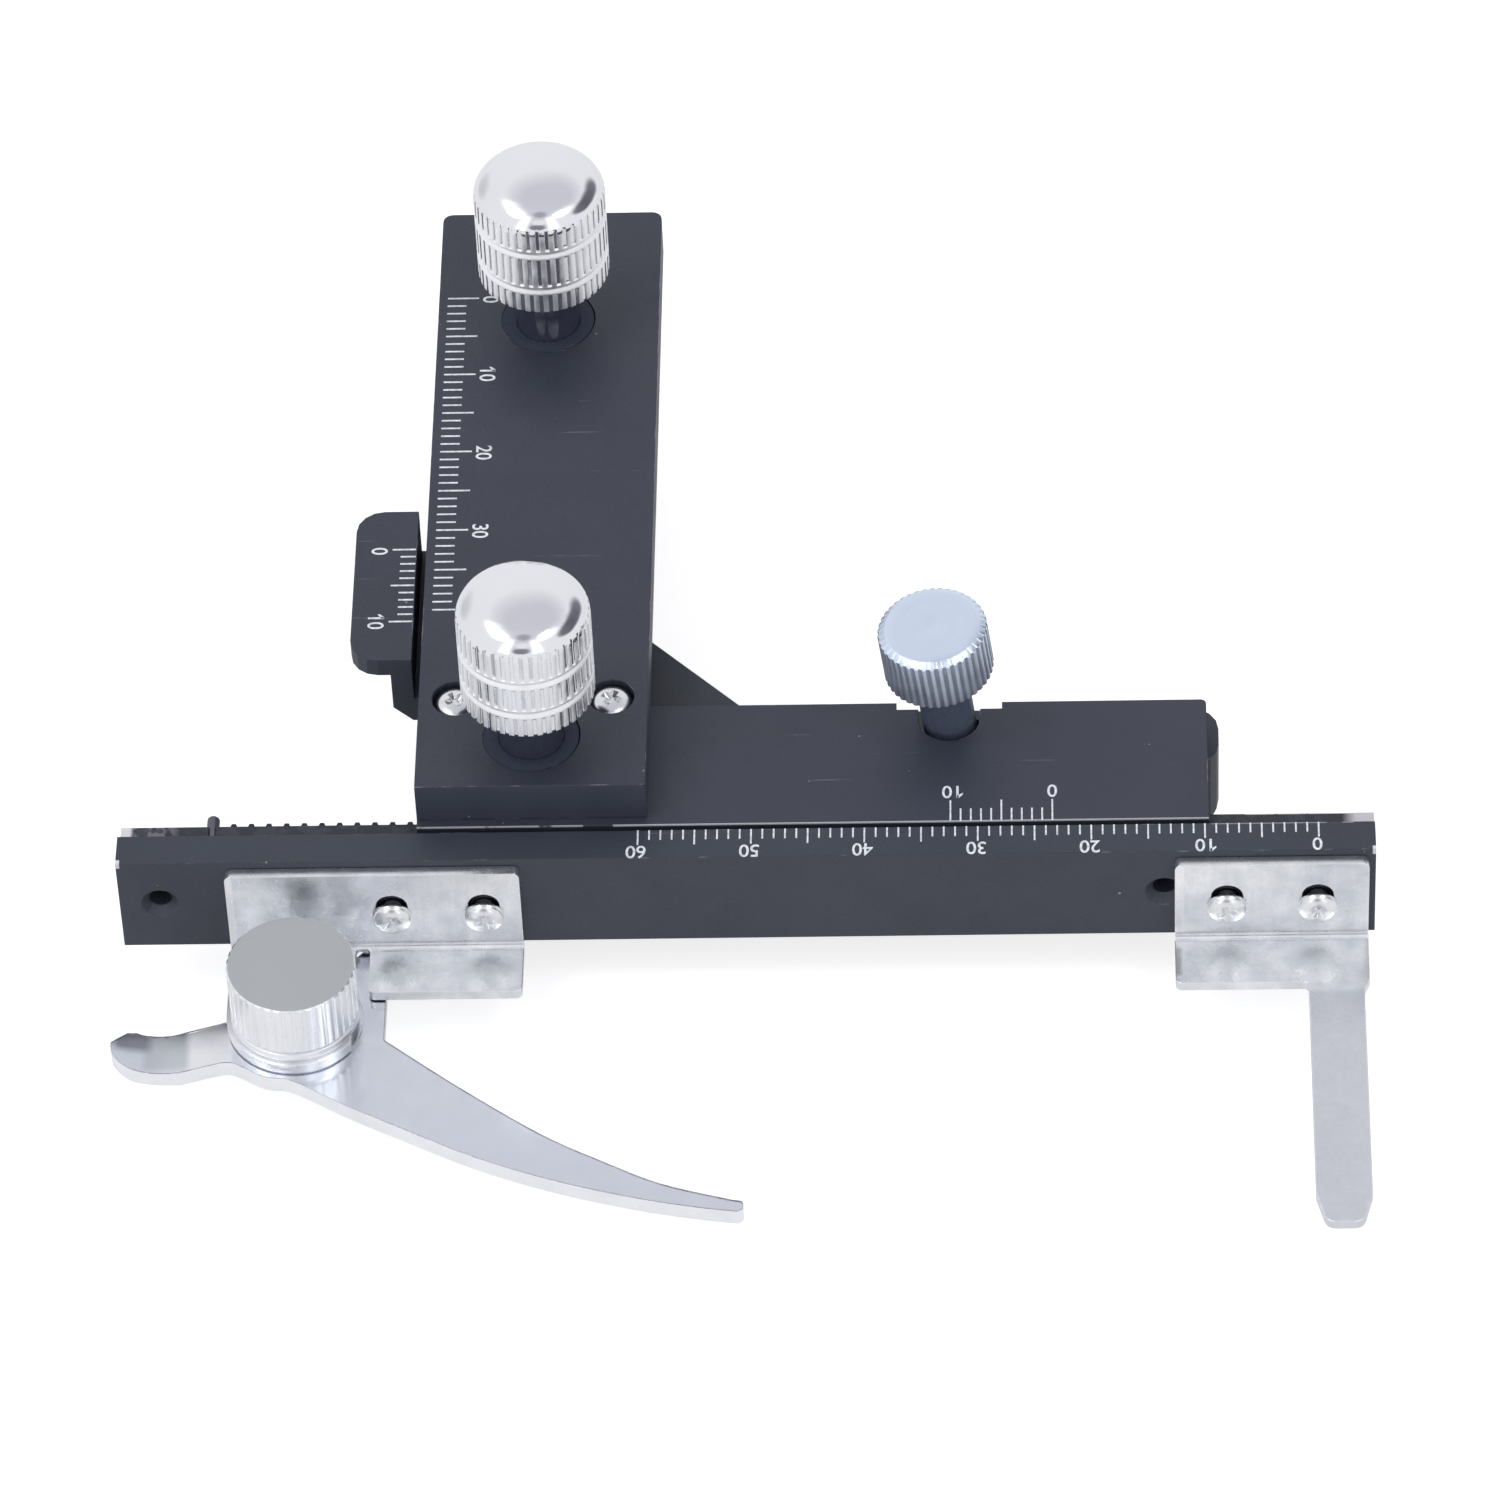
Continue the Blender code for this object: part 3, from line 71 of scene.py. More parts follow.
def makeCamera():
    data = bpy.data.cameras.new("stageCamera")
    data.lens = cameraSet["lens"]
    data.sensor_width = cameraSet["sensor"]
    data.clip_start, data.clip_end = (distance * mm for distance in cameraSet["clip"])
    camera = linked("stageCamera", data)
    tilt = Matrix.Rotation(radians(90 - cameraSet["elevation"]), 4, "X")
    turn = Matrix.Rotation(-radians(cameraSet["turn"]), 4, "Z")
    roll = Matrix.Rotation(radians(cameraSet["roll"]), 4, "Z")
    camera.matrix_world = Matrix.Translation(Vector(cameraSet["place"]) * mm) @ turn @ tilt @ roll
    scene.camera = camera


makeCamera()
scene.view_settings.view_transform = "Standard"
print("camera set")


# Node trees of the finishes and of the world

class Nodes:
    def __init__(self, tree):
        self.tree = tree

    def put(self, socket, value):
        if isinstance(value, bpy.types.NodeSocket):
            self.tree.links.new(value, socket)
        else:
            socket.default_value = value

    def node(self, kind, inputs=(), **settings):
        made = self.tree.nodes.new(kind)
        for key, value in settings.items():
            setattr(made, key, value)
        for key, value in dict(inputs).items():
            self.put(made.inputs[key], value)
        return made

    def ramp(self, value, low, high, start=0.0, end=1.0):
        inputs = {"Value": value, "From Min": low, "From Max": high, "To Min": start, "To Max": end}
        return self.node("ShaderNodeMapRange", inputs).outputs["Result"]

    def maths(self, operation, first, second=0.0):
        return self.node("ShaderNodeMath", {0: first, 1: second}, operation=operation).outputs[0]

    def times(self, first, second):
        return self.maths("MULTIPLY", first, second)

    def dot(self, first, second):
        inputs = {0: first, 1: second}
        return self.node("ShaderNodeVectorMath", inputs, operation="DOT_PRODUCT").outputs["Value"]

    def mix(self, share, first, second):
        # the colour sockets of a Mix node are its seventh and eighth
        made = self.node("ShaderNodeMix", {"Factor": share}, data_type="RGBA")
        for socket, value in zip(made.inputs[6:8], (first, second)):
            self.put(socket, value if isinstance(value, bpy.types.NodeSocket) else (*value, 1.0))
        return made.outputs[2]

    def within(self, value, low, high, soft):
        # 1 between low and high, falling to 0 over the soft distance on either side
        away = self.maths("ABSOLUTE", self.maths("SUBTRACT", value, (low + high) / 2))
        half = (high - low) / 2
        return self.ramp(away, half, half + soft, 1.0, 0.0)


# A finish is a Principled shader with its own small tree of textures

class Finish(Nodes):
    def __init__(self, name):
        self.material = bpy.data.materials.new(name)
        self.material.use_nodes = True
        super().__init__(self.material.node_tree)
        self.shader = self.tree.nodes["Principled BSDF"]
        coordinates = self.node("ShaderNodeTexCoord").outputs
        self.place, self.normal = coordinates["Object"], coordinates["Normal"]

    def set(self, **values):
        for key, value in values.items():
            self.put(self.shader.inputs[key.replace("_", " ")], value)

    def stretched(self, scale, turn=0.0):
        inputs = {"Vector": self.place, "Scale": scale, "Rotation": (0.0, 0.0, radians(turn))}
        return self.node("ShaderNodeMapping", inputs).outputs["Vector"]

    def noise(self, scale, detail=3.0, vector=None):
        inputs = {"Vector": vector or self.place, "Scale": scale, "Detail": detail}
        return self.node("ShaderNodeTexNoise", inputs).outputs["Fac"]

    def box(self, low, high, soft):
        # 1 inside a box given in millimetres
        split = self.node("ShaderNodeSeparateXYZ", {"Vector": self.place})
        share = 1.0
        for axis, start, end in zip("XYZ", low, high):
            inside = self.within(split.outputs[axis], start * mm, end * mm, soft * mm)
            share = self.times(share, inside)
        return share

    def dots(self, scale, size, share, seed=0.0):
        shifted = self.node("ShaderNodeVectorMath", {0: self.place, 1: (seed, seed, seed)}, operation="ADD")
        cells = self.node("ShaderNodeTexVoronoi", {"Vector": shifted.outputs[0], "Scale": scale})
        kept = self.node("ShaderNodeSeparateColor", {"Color": cells.outputs["Color"]}).outputs["Red"]
        near = self.ramp(cells.outputs["Distance"], size, size * 0.6)
        return self.times(near, self.maths("LESS_THAN", kept, share))

    def softEdges(self, radius):
        return self.node("ShaderNodeBevel", {"Radius": radius * mm}, samples=6).outputs["Normal"]

    def edges(self, radius, low, high):
        # 1 along the edges, where the rounded normal leaves the flat one
        flat = self.node("ShaderNodeNewGeometry").outputs["True Normal"]
        return self.ramp(self.dot(self.softEdges(radius), flat), high, low)

    def bump(self, height, distance, normal=None):
        inputs = {"Height": height, "Distance": distance * mm, **({"Normal": normal} if normal else {})}
        return self.node("ShaderNodeBump", inputs).outputs["Normal"]


def blackEnamel(name, colour=(0.03, 0.035, 0.052), worn=0.5, seed=0.0, rough=0.46, gloss=0.5, wornAndLitSpots=(),
                front=1.0):
    # spots hold wear, painted highlights and painted shade; each is a box in mm, softness, grain of its
    # edge, how much of it is covered, colour
    # front is how much lighter the faces to the front are painted: painted light on the faces that look
    # forward
    finish = Finish(name)
    cloud = finish.ramp(finish.noise(55.0, 2.0), 0.3, 0.7)
    tone = finish.mix(cloud, [c * 0.9 for c in colour], [c * 1.12 for c in colour])
    grain = finish.noise(5200.0, 2.0)
    tone = finish.mix(finish.ramp(grain, 0.35, 0.75, 0.0, 0.35), tone, [c * 1.7 for c in colour])
    # painted light: faces that look to the front are painted lighter
    if front != 1.0:
        paintedFrontLight = finish.ramp(finish.dot(finish.normal, (0.0, -1.0, 0.0)), 0.7, 0.9)
        tone = finish.mix(paintedFrontLight, tone, [c * front for c in colour])
    large, small = finish.dots(330.0, 0.045, 0.16, seed), finish.dots(900.0, 0.08, 0.03, seed + 3.1)
    dust = finish.maths("MINIMUM", finish.maths("ADD", large, small), 0.55)
    tone = finish.mix(dust, tone, (0.55, 0.57, 0.62))
    lines = finish.ramp(finish.noise(1.0, 1.0, finish.stretched((90.0, 2600.0, 90.0), 24.0)), 0.735, 0.76)
    scratches = finish.times(lines, finish.ramp(finish.noise(140.0), 0.52, 0.6))
    tone = finish.mix(finish.times(scratches, 0.35), tone, (0.3, 0.31, 0.34))
    edge = finish.edges(0.16, 0.86, 0.99)
    patchy = finish.ramp(finish.noise(420.0, 4.0), 0.62 - 0.2 * worn, 0.74 - 0.2 * worn)
    wear = finish.times(edge, patchy)
    tone = finish.mix(finish.times(wear, min(1.0, 0.4 + worn)), tone, (0.42, 0.42, 0.45))
    for low, high, soft, scale, share, wornAndLitColour in wornAndLitSpots:
        # each spot paints wear, a painted highlight or painted shade into its box
        wornAndLitShare = finish.ramp(finish.noise(scale, 3.0), 0.62 - share * 0.5, 0.68 - share * 0.5)
        tone = finish.mix(finish.times(finish.box(low, high, soft), wornAndLitShare), tone, wornAndLitColour)
    shine = finish.ramp(finish.noise(260.0, 4.0), 0.3, 0.7, rough - 0.05, rough + 0.07)
    finish.set(Base_Color=tone, Roughness=shine, Specular_IOR_Level=gloss,
               Normal=finish.bump(grain, 0.0035, finish.softEdges(0.13)))
    return finish.material


def platedMetal(name, colour, rough, tarnish, clouds=230.0, grainScale=(900.0, 900.0, 900.0),
                grainDepth=0.0015, pits=0.05, paintedLightPatches=(), rim=0.0):
    # each patch is a place of painted light with its own tone: box in mm, softness, colour, colour of its
    # clouds
    # rim is how far the edges are polished paler
    finish = Finish(name)
    cloud = finish.ramp(finish.noise(clouds, 2.0), 0.35, 0.75)
    tone = finish.mix(cloud, colour, tarnish)
    for low, high, soft, plain, cloudy in paintedLightPatches:
        litPatchShare = finish.box(low, high, soft)
        tone = finish.mix(litPatchShare, tone, finish.mix(cloud, plain, cloudy))
    if rim:
        patchy = finish.ramp(finish.noise(700.0), 0.3, 0.5, 0.5)
        worn = finish.times(finish.edges(0.24, 0.9, 0.99), patchy)
        tone = finish.mix(finish.times(worn, rim), tone, (0.98, 0.985, 0.99))
    fine = finish.noise(1.0, 3.0, finish.stretched(grainScale))
    tone = finish.mix(finish.ramp(fine, 0.35, 0.7, 0.0, 0.16), tone, [c * 0.8 for c in tarnish])
    dark = finish.times(finish.dots(800.0, 0.05, pits), 0.35)
    tone = finish.mix(dark, tone, (0.25, 0.25, 0.25))
    shine = finish.ramp(finish.noise(480.0, 3.0), 0.3, 0.75, rough * 0.85, rough * 1.2)
    normal = finish.bump(fine, grainDepth, finish.softEdges(0.1))
    finish.set(Base_Color=tone, Roughness=shine, Normal=normal, Metallic=1.0)
    return finish.material


def turnedMetal(name, colour, rough, marks=0.0002, ringStep=0.16, ringTone=0.05, smear=0.0,
                sideRough=0.0, sideTop=0.0):
    # turned about the piece's own Z; below sideTop it may be rougher
    finish = Finish(name)
    split = finish.node("ShaderNodeSeparateXYZ", {"Vector": finish.place})
    squares = [finish.times(split.outputs[axis], split.outputs[axis]) for axis in "XY"]
    out = finish.maths("SQRT", finish.maths("ADD", *squares))
    rings = finish.node("ShaderNodeCombineXYZ", {"X": out, "Z": split.outputs["Z"]}).outputs["Vector"]
    groove = finish.noise(1.0 / (ringStep * mm), 2.0, rings)
    cloud = finish.ramp(finish.noise(120.0, 2.0), 0.35, 0.7)
    tone = finish.mix(cloud, colour, [c * 0.96 for c in colour])
    tone = finish.mix(finish.ramp(groove, 0.35, 0.75, 0.0, ringTone), tone, [c * 0.72 for c in colour])
    shine = finish.ramp(finish.noise(700.0, 3.0), 0.3, 0.75, rough * 0.8, rough * 1.4)
    if sideRough:
        side = finish.ramp(split.outputs["Z"], sideTop * mm, (sideTop + 0.6) * mm, sideRough - rough, 0.0)
        shine = finish.maths("ADD", shine, side)
    finish.set(Base_Color=tone, Roughness=shine, Metallic=1.0, Normal=finish.bump(groove, marks))
    if smear:
        tangent = finish.node("ShaderNodeTangent", direction_type="RADIAL", axis="Z")
        finish.set(Anisotropic=smear, Tangent=tangent.outputs["Tangent"])
    return finish.material


def scalePaint(name, dull, bright, scale=2600.0):
    finish = Finish(name)
    patchy = finish.ramp(finish.noise(scale, 3.0), 0.3, 0.62)
    tone = finish.mix(patchy, dull, bright)
    finish.set(Base_Color=tone, Roughness=finish.ramp(finish.noise(scale * 0.7), 0.3, 0.7, 0.5, 0.7))
    return finish.material


# white of bare metal at the chips, used also for a painted highlight on the ledge
bareAndLitWhite = (0.72, 0.71, 0.72)
railWearAndPaintedLight = (
    # the ledge behind the scale, darkened in patches as painted shade under the guide's edge, then paler at
    # its ends, with a painted highlight along its edge at the right, and the chips of the end faces
    ((-36.8, -13.5, 10.5), (74.5, -10.5, 11.1), 0.02, 700.0, 0.4, (0.02, 0.02, 0.035)),
    ((-36.0, -13.5, 10.5), (-32.3, -10.5, 11.1), 0.9, 900.0, 0.3, (0.16, 0.145, 0.18)),
    ((-36.9, -13.9, 10.5), (-35.9, -10.4, 11.1), 0.3, 420.0, 1.0, bareAndLitWhite),
    ((72.8, -13.9, 10.5), (74.5, -10.4, 11.1), 1.2, 500.0, 0.95, (0.58, 0.55, 0.59)),
    # a painted highlight along the ledge's edge at the right
    ((63.0, -10.62, 10.9), (72.8, -10.4, 11.1), 0.03, 500.0, 0.5, bareAndLitWhite),
    ((-36.8, -17.0, 12.6), (-36.4, -16.4, 13.2), 0.1, 900.0, 1.0, bareAndLitWhite),
    ((74.15, -17.0, 12.5), (74.5, -16.5, 13.2), 0.1, 900.0, 1.0, bareAndLitWhite),
    ((60.0, -13.66, 12.8), (72.5, -13.5, 13.2), 0.03, 400.0, 0.5, (0.25, 0.25, 0.29)),
)
guidePaintedHighlights = (
    # a painted highlight along the front edge, whole to the right of the bar and broken under it
    ((7.2, -12.99, 12.95), (59.9, -12.83, 13.2), 0.03, 300.0, 0.9, (0.5, 0.5, 0.53)),
    ((-10.2, -12.99, 12.95), (4.5, -12.83, 13.2), 0.03, 520.0, 0.42, (0.4, 0.4, 0.43)),
)
# scale and depth of a fine grain, and no pits
fineGrain = ((400.0, 400.0, 400.0), 0.0003, 0.0)
bracketPaintedLight = (
    # the flange and the shelf, painted paler than the finger as painted light
    ((-30.0, -24.2, 1.0), (75.0, -16.0, 13.0), 0.6, (0.95, 0.96, 0.975), (0.74, 0.765, 0.79)),
    ((-27.4, -32.0, 1.9), (-14.8, -19.5, 3.1), 0.2, (0.94, 0.95, 0.965), (0.86, 0.87, 0.89)),
    # the rolled left edges, a painted highlight on the flange and painted shade on the shelf
    ((-27.2, -18.3, 3.8), (-26.55, -17.0, 12.2), 0.15, (1.0, 1.0, 1.0), (0.98, 0.98, 1.0)),
    ((56.6, -18.3, 3.6), (57.45, -17.0, 12.2), 0.15, (1.0, 1.0, 1.0), (0.98, 0.98, 1.0)),
    ((56.6, -22.2, 2.0), (57.05, -19.4, 3.2), 0.35, (0.42, 0.43, 0.46), (0.55, 0.56, 0.59)),
)
leverPaintedLight = (
    # painted reflections on the thumb lever: pale on its flat, grey in the hollow where it starts to curl
    # and dark at its tip
    ((-30.4, -34.0, 1.2), (-26.7, -25.5, 4.0), 0.4, (0.98, 0.96, 0.98), (0.93, 0.94, 0.96)),
    ((-34.0, -30.6, 1.2), (-30.8, -25.5, 4.0), 0.7, (0.58, 0.61, 0.64), (0.64, 0.67, 0.7)),
    ((-36.6, -28.3, 1.4), (-34.3, -26.0, 4.0), 0.9, (0.28, 0.295, 0.335), (0.32, 0.33, 0.37)),
)

finishes = {
    # the bar's front faces get painted light
    "bar": blackEnamel("barEnamel", worn=0.35, seed=1.3, front=1.3),
    "guide": blackEnamel("guideEnamel", worn=0.45, seed=4.7, wornAndLitSpots=guidePaintedHighlights),
    "rail": blackEnamel("railEnamel", colour=(0.03, 0.036, 0.052), worn=0.25, seed=7.9, wornAndLitSpots=railWearAndPaintedLight),
    "base": blackEnamel("baseEnamel", colour=(0.026, 0.031, 0.044), worn=0.3, seed=2.2),
    "bush": blackEnamel("bushEnamel", colour=(0.037, 0.043, 0.067), worn=0.0, seed=5.5, rough=0.75,
                        gloss=0.15),
    "neck": blackEnamel("neckEnamel", colour=(0.07, 0.087, 0.127), worn=0.1, seed=3.4, rough=0.5,
                        gloss=0.4),
    "blackSteel": platedMetal("blackedSteel", (0.05, 0.055, 0.075), 0.34, (0.035, 0.04, 0.055)),
    "pinSteel": platedMetal("pinSteel", (0.17, 0.17, 0.195), 0.45, (0.13, 0.13, 0.155)),
    "chrome": turnedMetal("knobChrome", (0.87, 0.875, 0.89), 0.1, ringTone=0.03, smear=0.2,
                          sideRough=0.13, sideTop=9.0),
    "knobLand": turnedMetal("knobLandChrome", (0.96, 0.965, 0.98), 0.5, ringTone=0.04),
    "zinc": turnedMetal("clampZinc", (0.72, 0.81, 0.93), 0.3, 0.0003, 0.3),
    "knurlGap": platedMetal("knurlZinc", (0.62, 0.675, 0.77), 0.5, (0.5, 0.55, 0.64)),
    "screw": platedMetal("screwNickel", (0.84, 0.85, 0.86), 0.24, (0.76, 0.77, 0.78), 400.0),
    "bracket": platedMetal("bracketNickel", (0.73, 0.75, 0.775), 0.27, (0.69, 0.71, 0.74), 420.0,
                           (1500.0, 1500.0, 260.0), 0.0005, 0.0, paintedLightPatches=bracketPaintedLight, rim=0.9),
    "arm": platedMetal("armNickel", (0.745, 0.77, 0.83), 0.17, (0.72, 0.745, 0.805), 70.0, *fineGrain,
                       paintedLightPatches=leverPaintedLight),
    # painted reflections for the arm's edges, pale at the front and dark at the back
    "armPaleReflection": platedMetal("armPaleReflectionNickel", (0.96, 0.97, 0.99), 0.3, (0.9, 0.91, 0.94), 300.0, *fineGrain),
    "armDarkReflection": platedMetal("armDarkReflectionNickel", (0.2, 0.2, 0.22), 0.4, (0.28, 0.28, 0.3), 300.0, *fineGrain),
    "rib": platedMetal("ribNickel", (0.92, 0.93, 0.945), 0.3, (0.88, 0.89, 0.91), 120.0, *fineGrain),
    "cap": scalePaint("capGrey", (0.4, 0.418, 0.429), (0.41, 0.428, 0.439), 300.0),
    "steel": platedMetal("bareSteel", (0.5, 0.5, 0.51), 0.32, (0.38, 0.38, 0.39)),
    "paint": scalePaint("scalePaint", (0.55, 0.57, 0.61), (0.88, 0.9, 0.94)),
}
print("finishes made:", len(finishes))


# Mesh helpers

def meshFrom(name, bm):
    for vert in bm.verts:
        vert.co *= mm
    bmesh.ops.remove_doubles(bm, verts=bm.verts, dist=1e-7)
    bmesh.ops.recalc_face_normals(bm, faces=bm.faces)
    mesh = bpy.data.meshes.new(name)
    bm.to_mesh(mesh)
    bm.free()
    return mesh


def makePiece(name, bm, finishNames, body, place=(0, 0, 0), sharp=35):
    mesh = meshFrom(name, bm)
    mesh.shade_smooth()
    mesh.set_sharp_from_angle(angle=radians(sharp))
    piece = linked(name, mesh)
    piece.location = Vector(place) * mm
    for finishName in finishNames:
        mesh.materials.append(finishes[finishName])
    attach(piece, body)
    return piece


def bevelled(piece, width, segments, angle):
    change = piece.modifiers.new("edgeBreak", "BEVEL")
    change.width = width * mm
    change.segments = segments
    change.limit_method = "ANGLE"
    change.angle_limit = radians(angle)
    change.harden_normals = True


def carved(piece, shapes):
    # bakes each cut into the mesh, so that no cutter stays in the scene
    for bm in shapes:
        cutter = linked("cutter", meshFrom("cutter", bm))
        cutter.matrix_world = Matrix.Translation(piece.location)
        change = piece.modifiers.new("carve", "BOOLEAN")
        change.solver = "EXACT"
        change.object = cutter
        bpy.context.view_layer.update()
        solid = piece.evaluated_get(bpy.context.evaluated_depsgraph_get())
        shape = bpy.data.meshes.new_from_object(solid)
        piece.modifiers.remove(change)
        old = piece.data
        piece.data = shape
        bpy.data.meshes.remove(old)
        bpy.data.objects.remove(cutter)
    piece.data.shade_smooth()
    piece.data.set_sharp_from_angle(angle=radians(30))


def addSlab(bm, outline, low, high):
    under = [bm.verts.new((x, y, low)) for x, y in outline]
    over = [bm.verts.new((x, y, high)) for x, y in outline]
    bm.faces.new(under[::-1])
    bm.faces.new(over)
    for index, vert in enumerate(under):
        after = (index + 1) % len(under)
        bm.faces.new((vert, under[after], over[after], over[index]))


def turned(rings, angles, hollow=False):
    # rings of (height, radii), one radius for each angle or one for all; a radius of 0 closes an end
    bm = bmesh.new()
    rows = []
    for height, radii in rings:
        radii = radii if isinstance(radii, list) else [radii] * (len(angles) if radii else 1)
        rows.append([bm.verts.new((r * cos(a), r * sin(a), height)) for r, a in zip(radii, angles)])
    if hollow:
        rows.append(rows[0])
    for first, second in zip(rows, rows[1:]):
        for step in range(len(angles)):
            after = (step + 1) % len(angles)
            if len(first) == 1:
                bm.faces.new((first[0], second[step], second[after]))
            elif len(second) == 1:
                bm.faces.new((first[step], second[0], first[after]))
            else:
                bm.faces.new((first[step], second[step], second[after], first[after]))
    return bm


def cutIn(line, radius, depths, share):
    # rings for an outline of (height, radius), cut in by the depths times the share at each height
    return [(height, [min(ring, radius - depth * share(height)) for depth in depths] if ring else 0)
            for height, ring in line]


def cutAcross(bm, place, normal):
    # new edges where the shape meets a plane
    geometry = bm.verts[:] + bm.edges[:] + bm.faces[:]
    bmesh.ops.bisect_plane(bm, geom=geometry, plane_co=place, plane_no=normal, dist=1e-5)


def evenAngles(count):
    return [2 * pi * step / count for step in range(count)]


def arc(centre, radius, begin, end, steps):
    turns = [begin + (end - begin) * step / steps for step in range(steps + 1)]
    return [(centre[0] + radius * cos(t), centre[1] + radius * sin(t)) for t in turns]


# Domed knobs on the X and Y spindles: a turned dome, 44 milled flutes and two V grooves

domedKnob = {
    "front": {"radius": 5.95, "right": 0.0, "up": 23.3, "grooves": (2.9, 6.55)},
    "rear": {"radius": 6.03, "right": -0.08, "up": 23.9, "grooves": (2.87, 7.3)},
    "straight": 9.5,
    "dome": 2.95,
    "domePower": 0.92,
    "domeSteps": 26,
    "edge": 0.25,
    "lip": 0.03,
    "bore": 2.95,
    "grooveDepth": 0.16,
    "grooveHalf": 0.28,
    "flutes": 44,
    "fluteDepth": 0.15,
    "fluteShare": 0.44,
    "slotEnd": 0.32,
    "slotMargin": 0.22,
    "slotTop": 1.0,
    "endSteps": (0.0, 0.04, 0.12, 0.22, 0.32),
    # the side's first and last ring, and what counts as a slot's floor and as a land
    "sideEnds": (0.4, 0.15),
    "slotSkin": 0.055,
    "slotFrom": 0.3,
    "landFrom": 0.05,
    "landTop": 0.32,
}


def fluteSteps(count, share, depth):
    # one flute and one rounded land for each step; crown is the share of the depth by which the land falls
    half, crown = share / 2, 0.2
    land = 0.5 - half
    shape = ((-half, crown), (-half * 0.92, 0.8), (-half * 0.78, 1.0), (0.0, 1.0), (half * 0.78, 1.0),
             (half * 0.92, 0.8), (half, crown), (half + land * 0.3, crown * 0.45),
             (half + land * 0.65, crown * 0.1), (0.5, 0.0), (0.5 + land * 0.35, crown * 0.1),
             (0.5 + land * 0.7, crown * 0.45))
    angles = [2 * pi * (number + at) / count for number in range(count) for at, _ in shape]
    depths = [depth * at for _ in range(count) for _, at in shape]
    return angles, depths


def slotRows(grooves):
    # heights between which each row of slots runs, the first from below the knob
    away = domedKnob["grooveHalf"] + domedKnob["slotMargin"]
    edges = [middle + side * away for middle in grooves for side in (-1, 1)]
    edges = [-1.0, *edges, domedKnob["straight"] + domedKnob["slotTop"]]
    return list(zip(edges[::2], edges[1::2]))


def slotShare(height, rows, end):
    # share of the full depth at a height: 0 outside the rows, rounded over the end distance
    for low, high in rows:
        near = min(height - low, high - height)
        if near > 0:
            return 1.0 if near >= end else sqrt(1 - (1 - near / end) ** 2)
    return 0.0


def knobProfile(radius, grooves, rows):
    knob = domedKnob
    edge, straight, half, lip = knob["edge"], knob["straight"], knob["grooveHalf"], knob["lip"]
    line = [(0.0, 0.0), (0.0, knob["bore"]), (0.0, radius - 2 * edge), (2 * lip, radius - edge),
            (edge, radius - lip), (edge + 4 * lip, radius)]
    sides = []
    for middle in grooves:
        sides += [(middle - half - 2 * lip, radius), (middle - half, radius - lip),
                  (middle, radius - knob["grooveDepth"]), (middle + half, radius - lip),
                  (middle + half + 2 * lip, radius)]
    for low, high in rows:
        for step in knob["endSteps"]:
            sides += [(height, radius) for height in (low + step, high - step)
                      if knob["sideEnds"][0] < height < straight - knob["sideEnds"][1]]
    line += sorted(sides)
    line.append((straight - 0.1, radius))
    power, count = knob["domePower"], knob["domeSteps"]
    turns = [pi / 2 * (step / count) for step in range(count)]
    line += [(straight + knob["dome"] * sin(t) ** power, radius * cos(t) ** power) for t in turns]
    line.append((straight + knob["dome"], 0.0))
    return line


def makeDomedKnob(end, body, node):
    knob, own = domedKnob, domedKnob[end]
    radius, grooves = own["radius"], own["grooves"]
    place = (spindles[end][0] + own["right"], spindles[end][1], own["up"])
    angles, depths = fluteSteps(knob["flutes"], knob["fluteShare"], knob["fluteDepth"])
    rows = slotRows(grooves)

    def share(height):
        return slotShare(height, rows, knob["slotEnd"])

    bm = turned(cutIn(knobProfile(radius, grooves, rows), radius, depths, share), angles)
    # the lands are duller than the slots and the dome
    for face in bm.faces:
        middle = face.calc_center_median()
        inSlot = share(middle.z) > knob["slotFrom"] and middle.to_2d().length < radius - knob["slotSkin"]
        land = knob["landFrom"] < middle.z < knob["straight"] + knob["landTop"] and not inSlot
        face.material_index = 1 if land else 0
    piece = makePiece("domedKnob" + end.title(), bm, ("chrome", "knobLand"), body, place, 32)
    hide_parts(node)


makeDomedKnob("front", "x_drive", "x_knob")
makeDomedKnob("rear", "y_drive", "y_knob")
print("domed knobs made")


# Pivot knob of the swing arm: straight ribs and a flat grey top

pivotKnob = {
    "place": (*pivot, 4.0),
    "radius": 5.7,
    "height": 5.6,
    "ribs": 38,
    "ribDepth": 0.13,
    "ribGap": 0.36,
    "collar": 0.12,
    "edge": 0.16,
    "bore": 3.0,
    "foot": 0.3,
}


def makePivotKnob():
    knob = pivotKnob
    angles, depths = fluteSteps(knob["ribs"], knob["ribGap"], knob["ribDepth"])
    radius, collar, top, edge = knob["radius"], knob["collar"], knob["height"], knob["edge"]
    line = [(0.0, 0.0), (0.0, knob["bore"]), (0.0, radius - knob["foot"]), (collar, radius - collar),
            (2 * collar, radius), (top - edge, radius), (top - edge / 4, radius - edge * 0.7),
            (top, radius - edge), (top, radius - edge - collar), (top, 0.0)]
    bm = turned(cutIn(line, radius, depths, lambda height: height > collar), angles)
    for face in bm.faces:
        if min(v.co.z for v in face.verts) > top - 0.01:
            face.material_index = 1
    piece = makePiece("pivotKnobRibbed", bm, ("rib", "cap"), "pivot_cap", knob["place"], 30)
    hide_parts("pivot_knob")


makePivotKnob()
print("pivot knob made")


# Bushes of the spindles, whose rims stand a little to the left in their holes, and the pivot knob's washer

spindleBush = {
    "bore": 2.91,
    "radius": 4.28,
    "low": 13.3,
    "high": 17.37,
    "edge": 0.04,
    "shift": -0.06,
}
pivotWasher = {
    "bore": 1.75,
    "radius": 5.72,
    "low": 3.01,
    "high": 3.93,
    "edge": 0.22,
    "shift": 0.0,
}


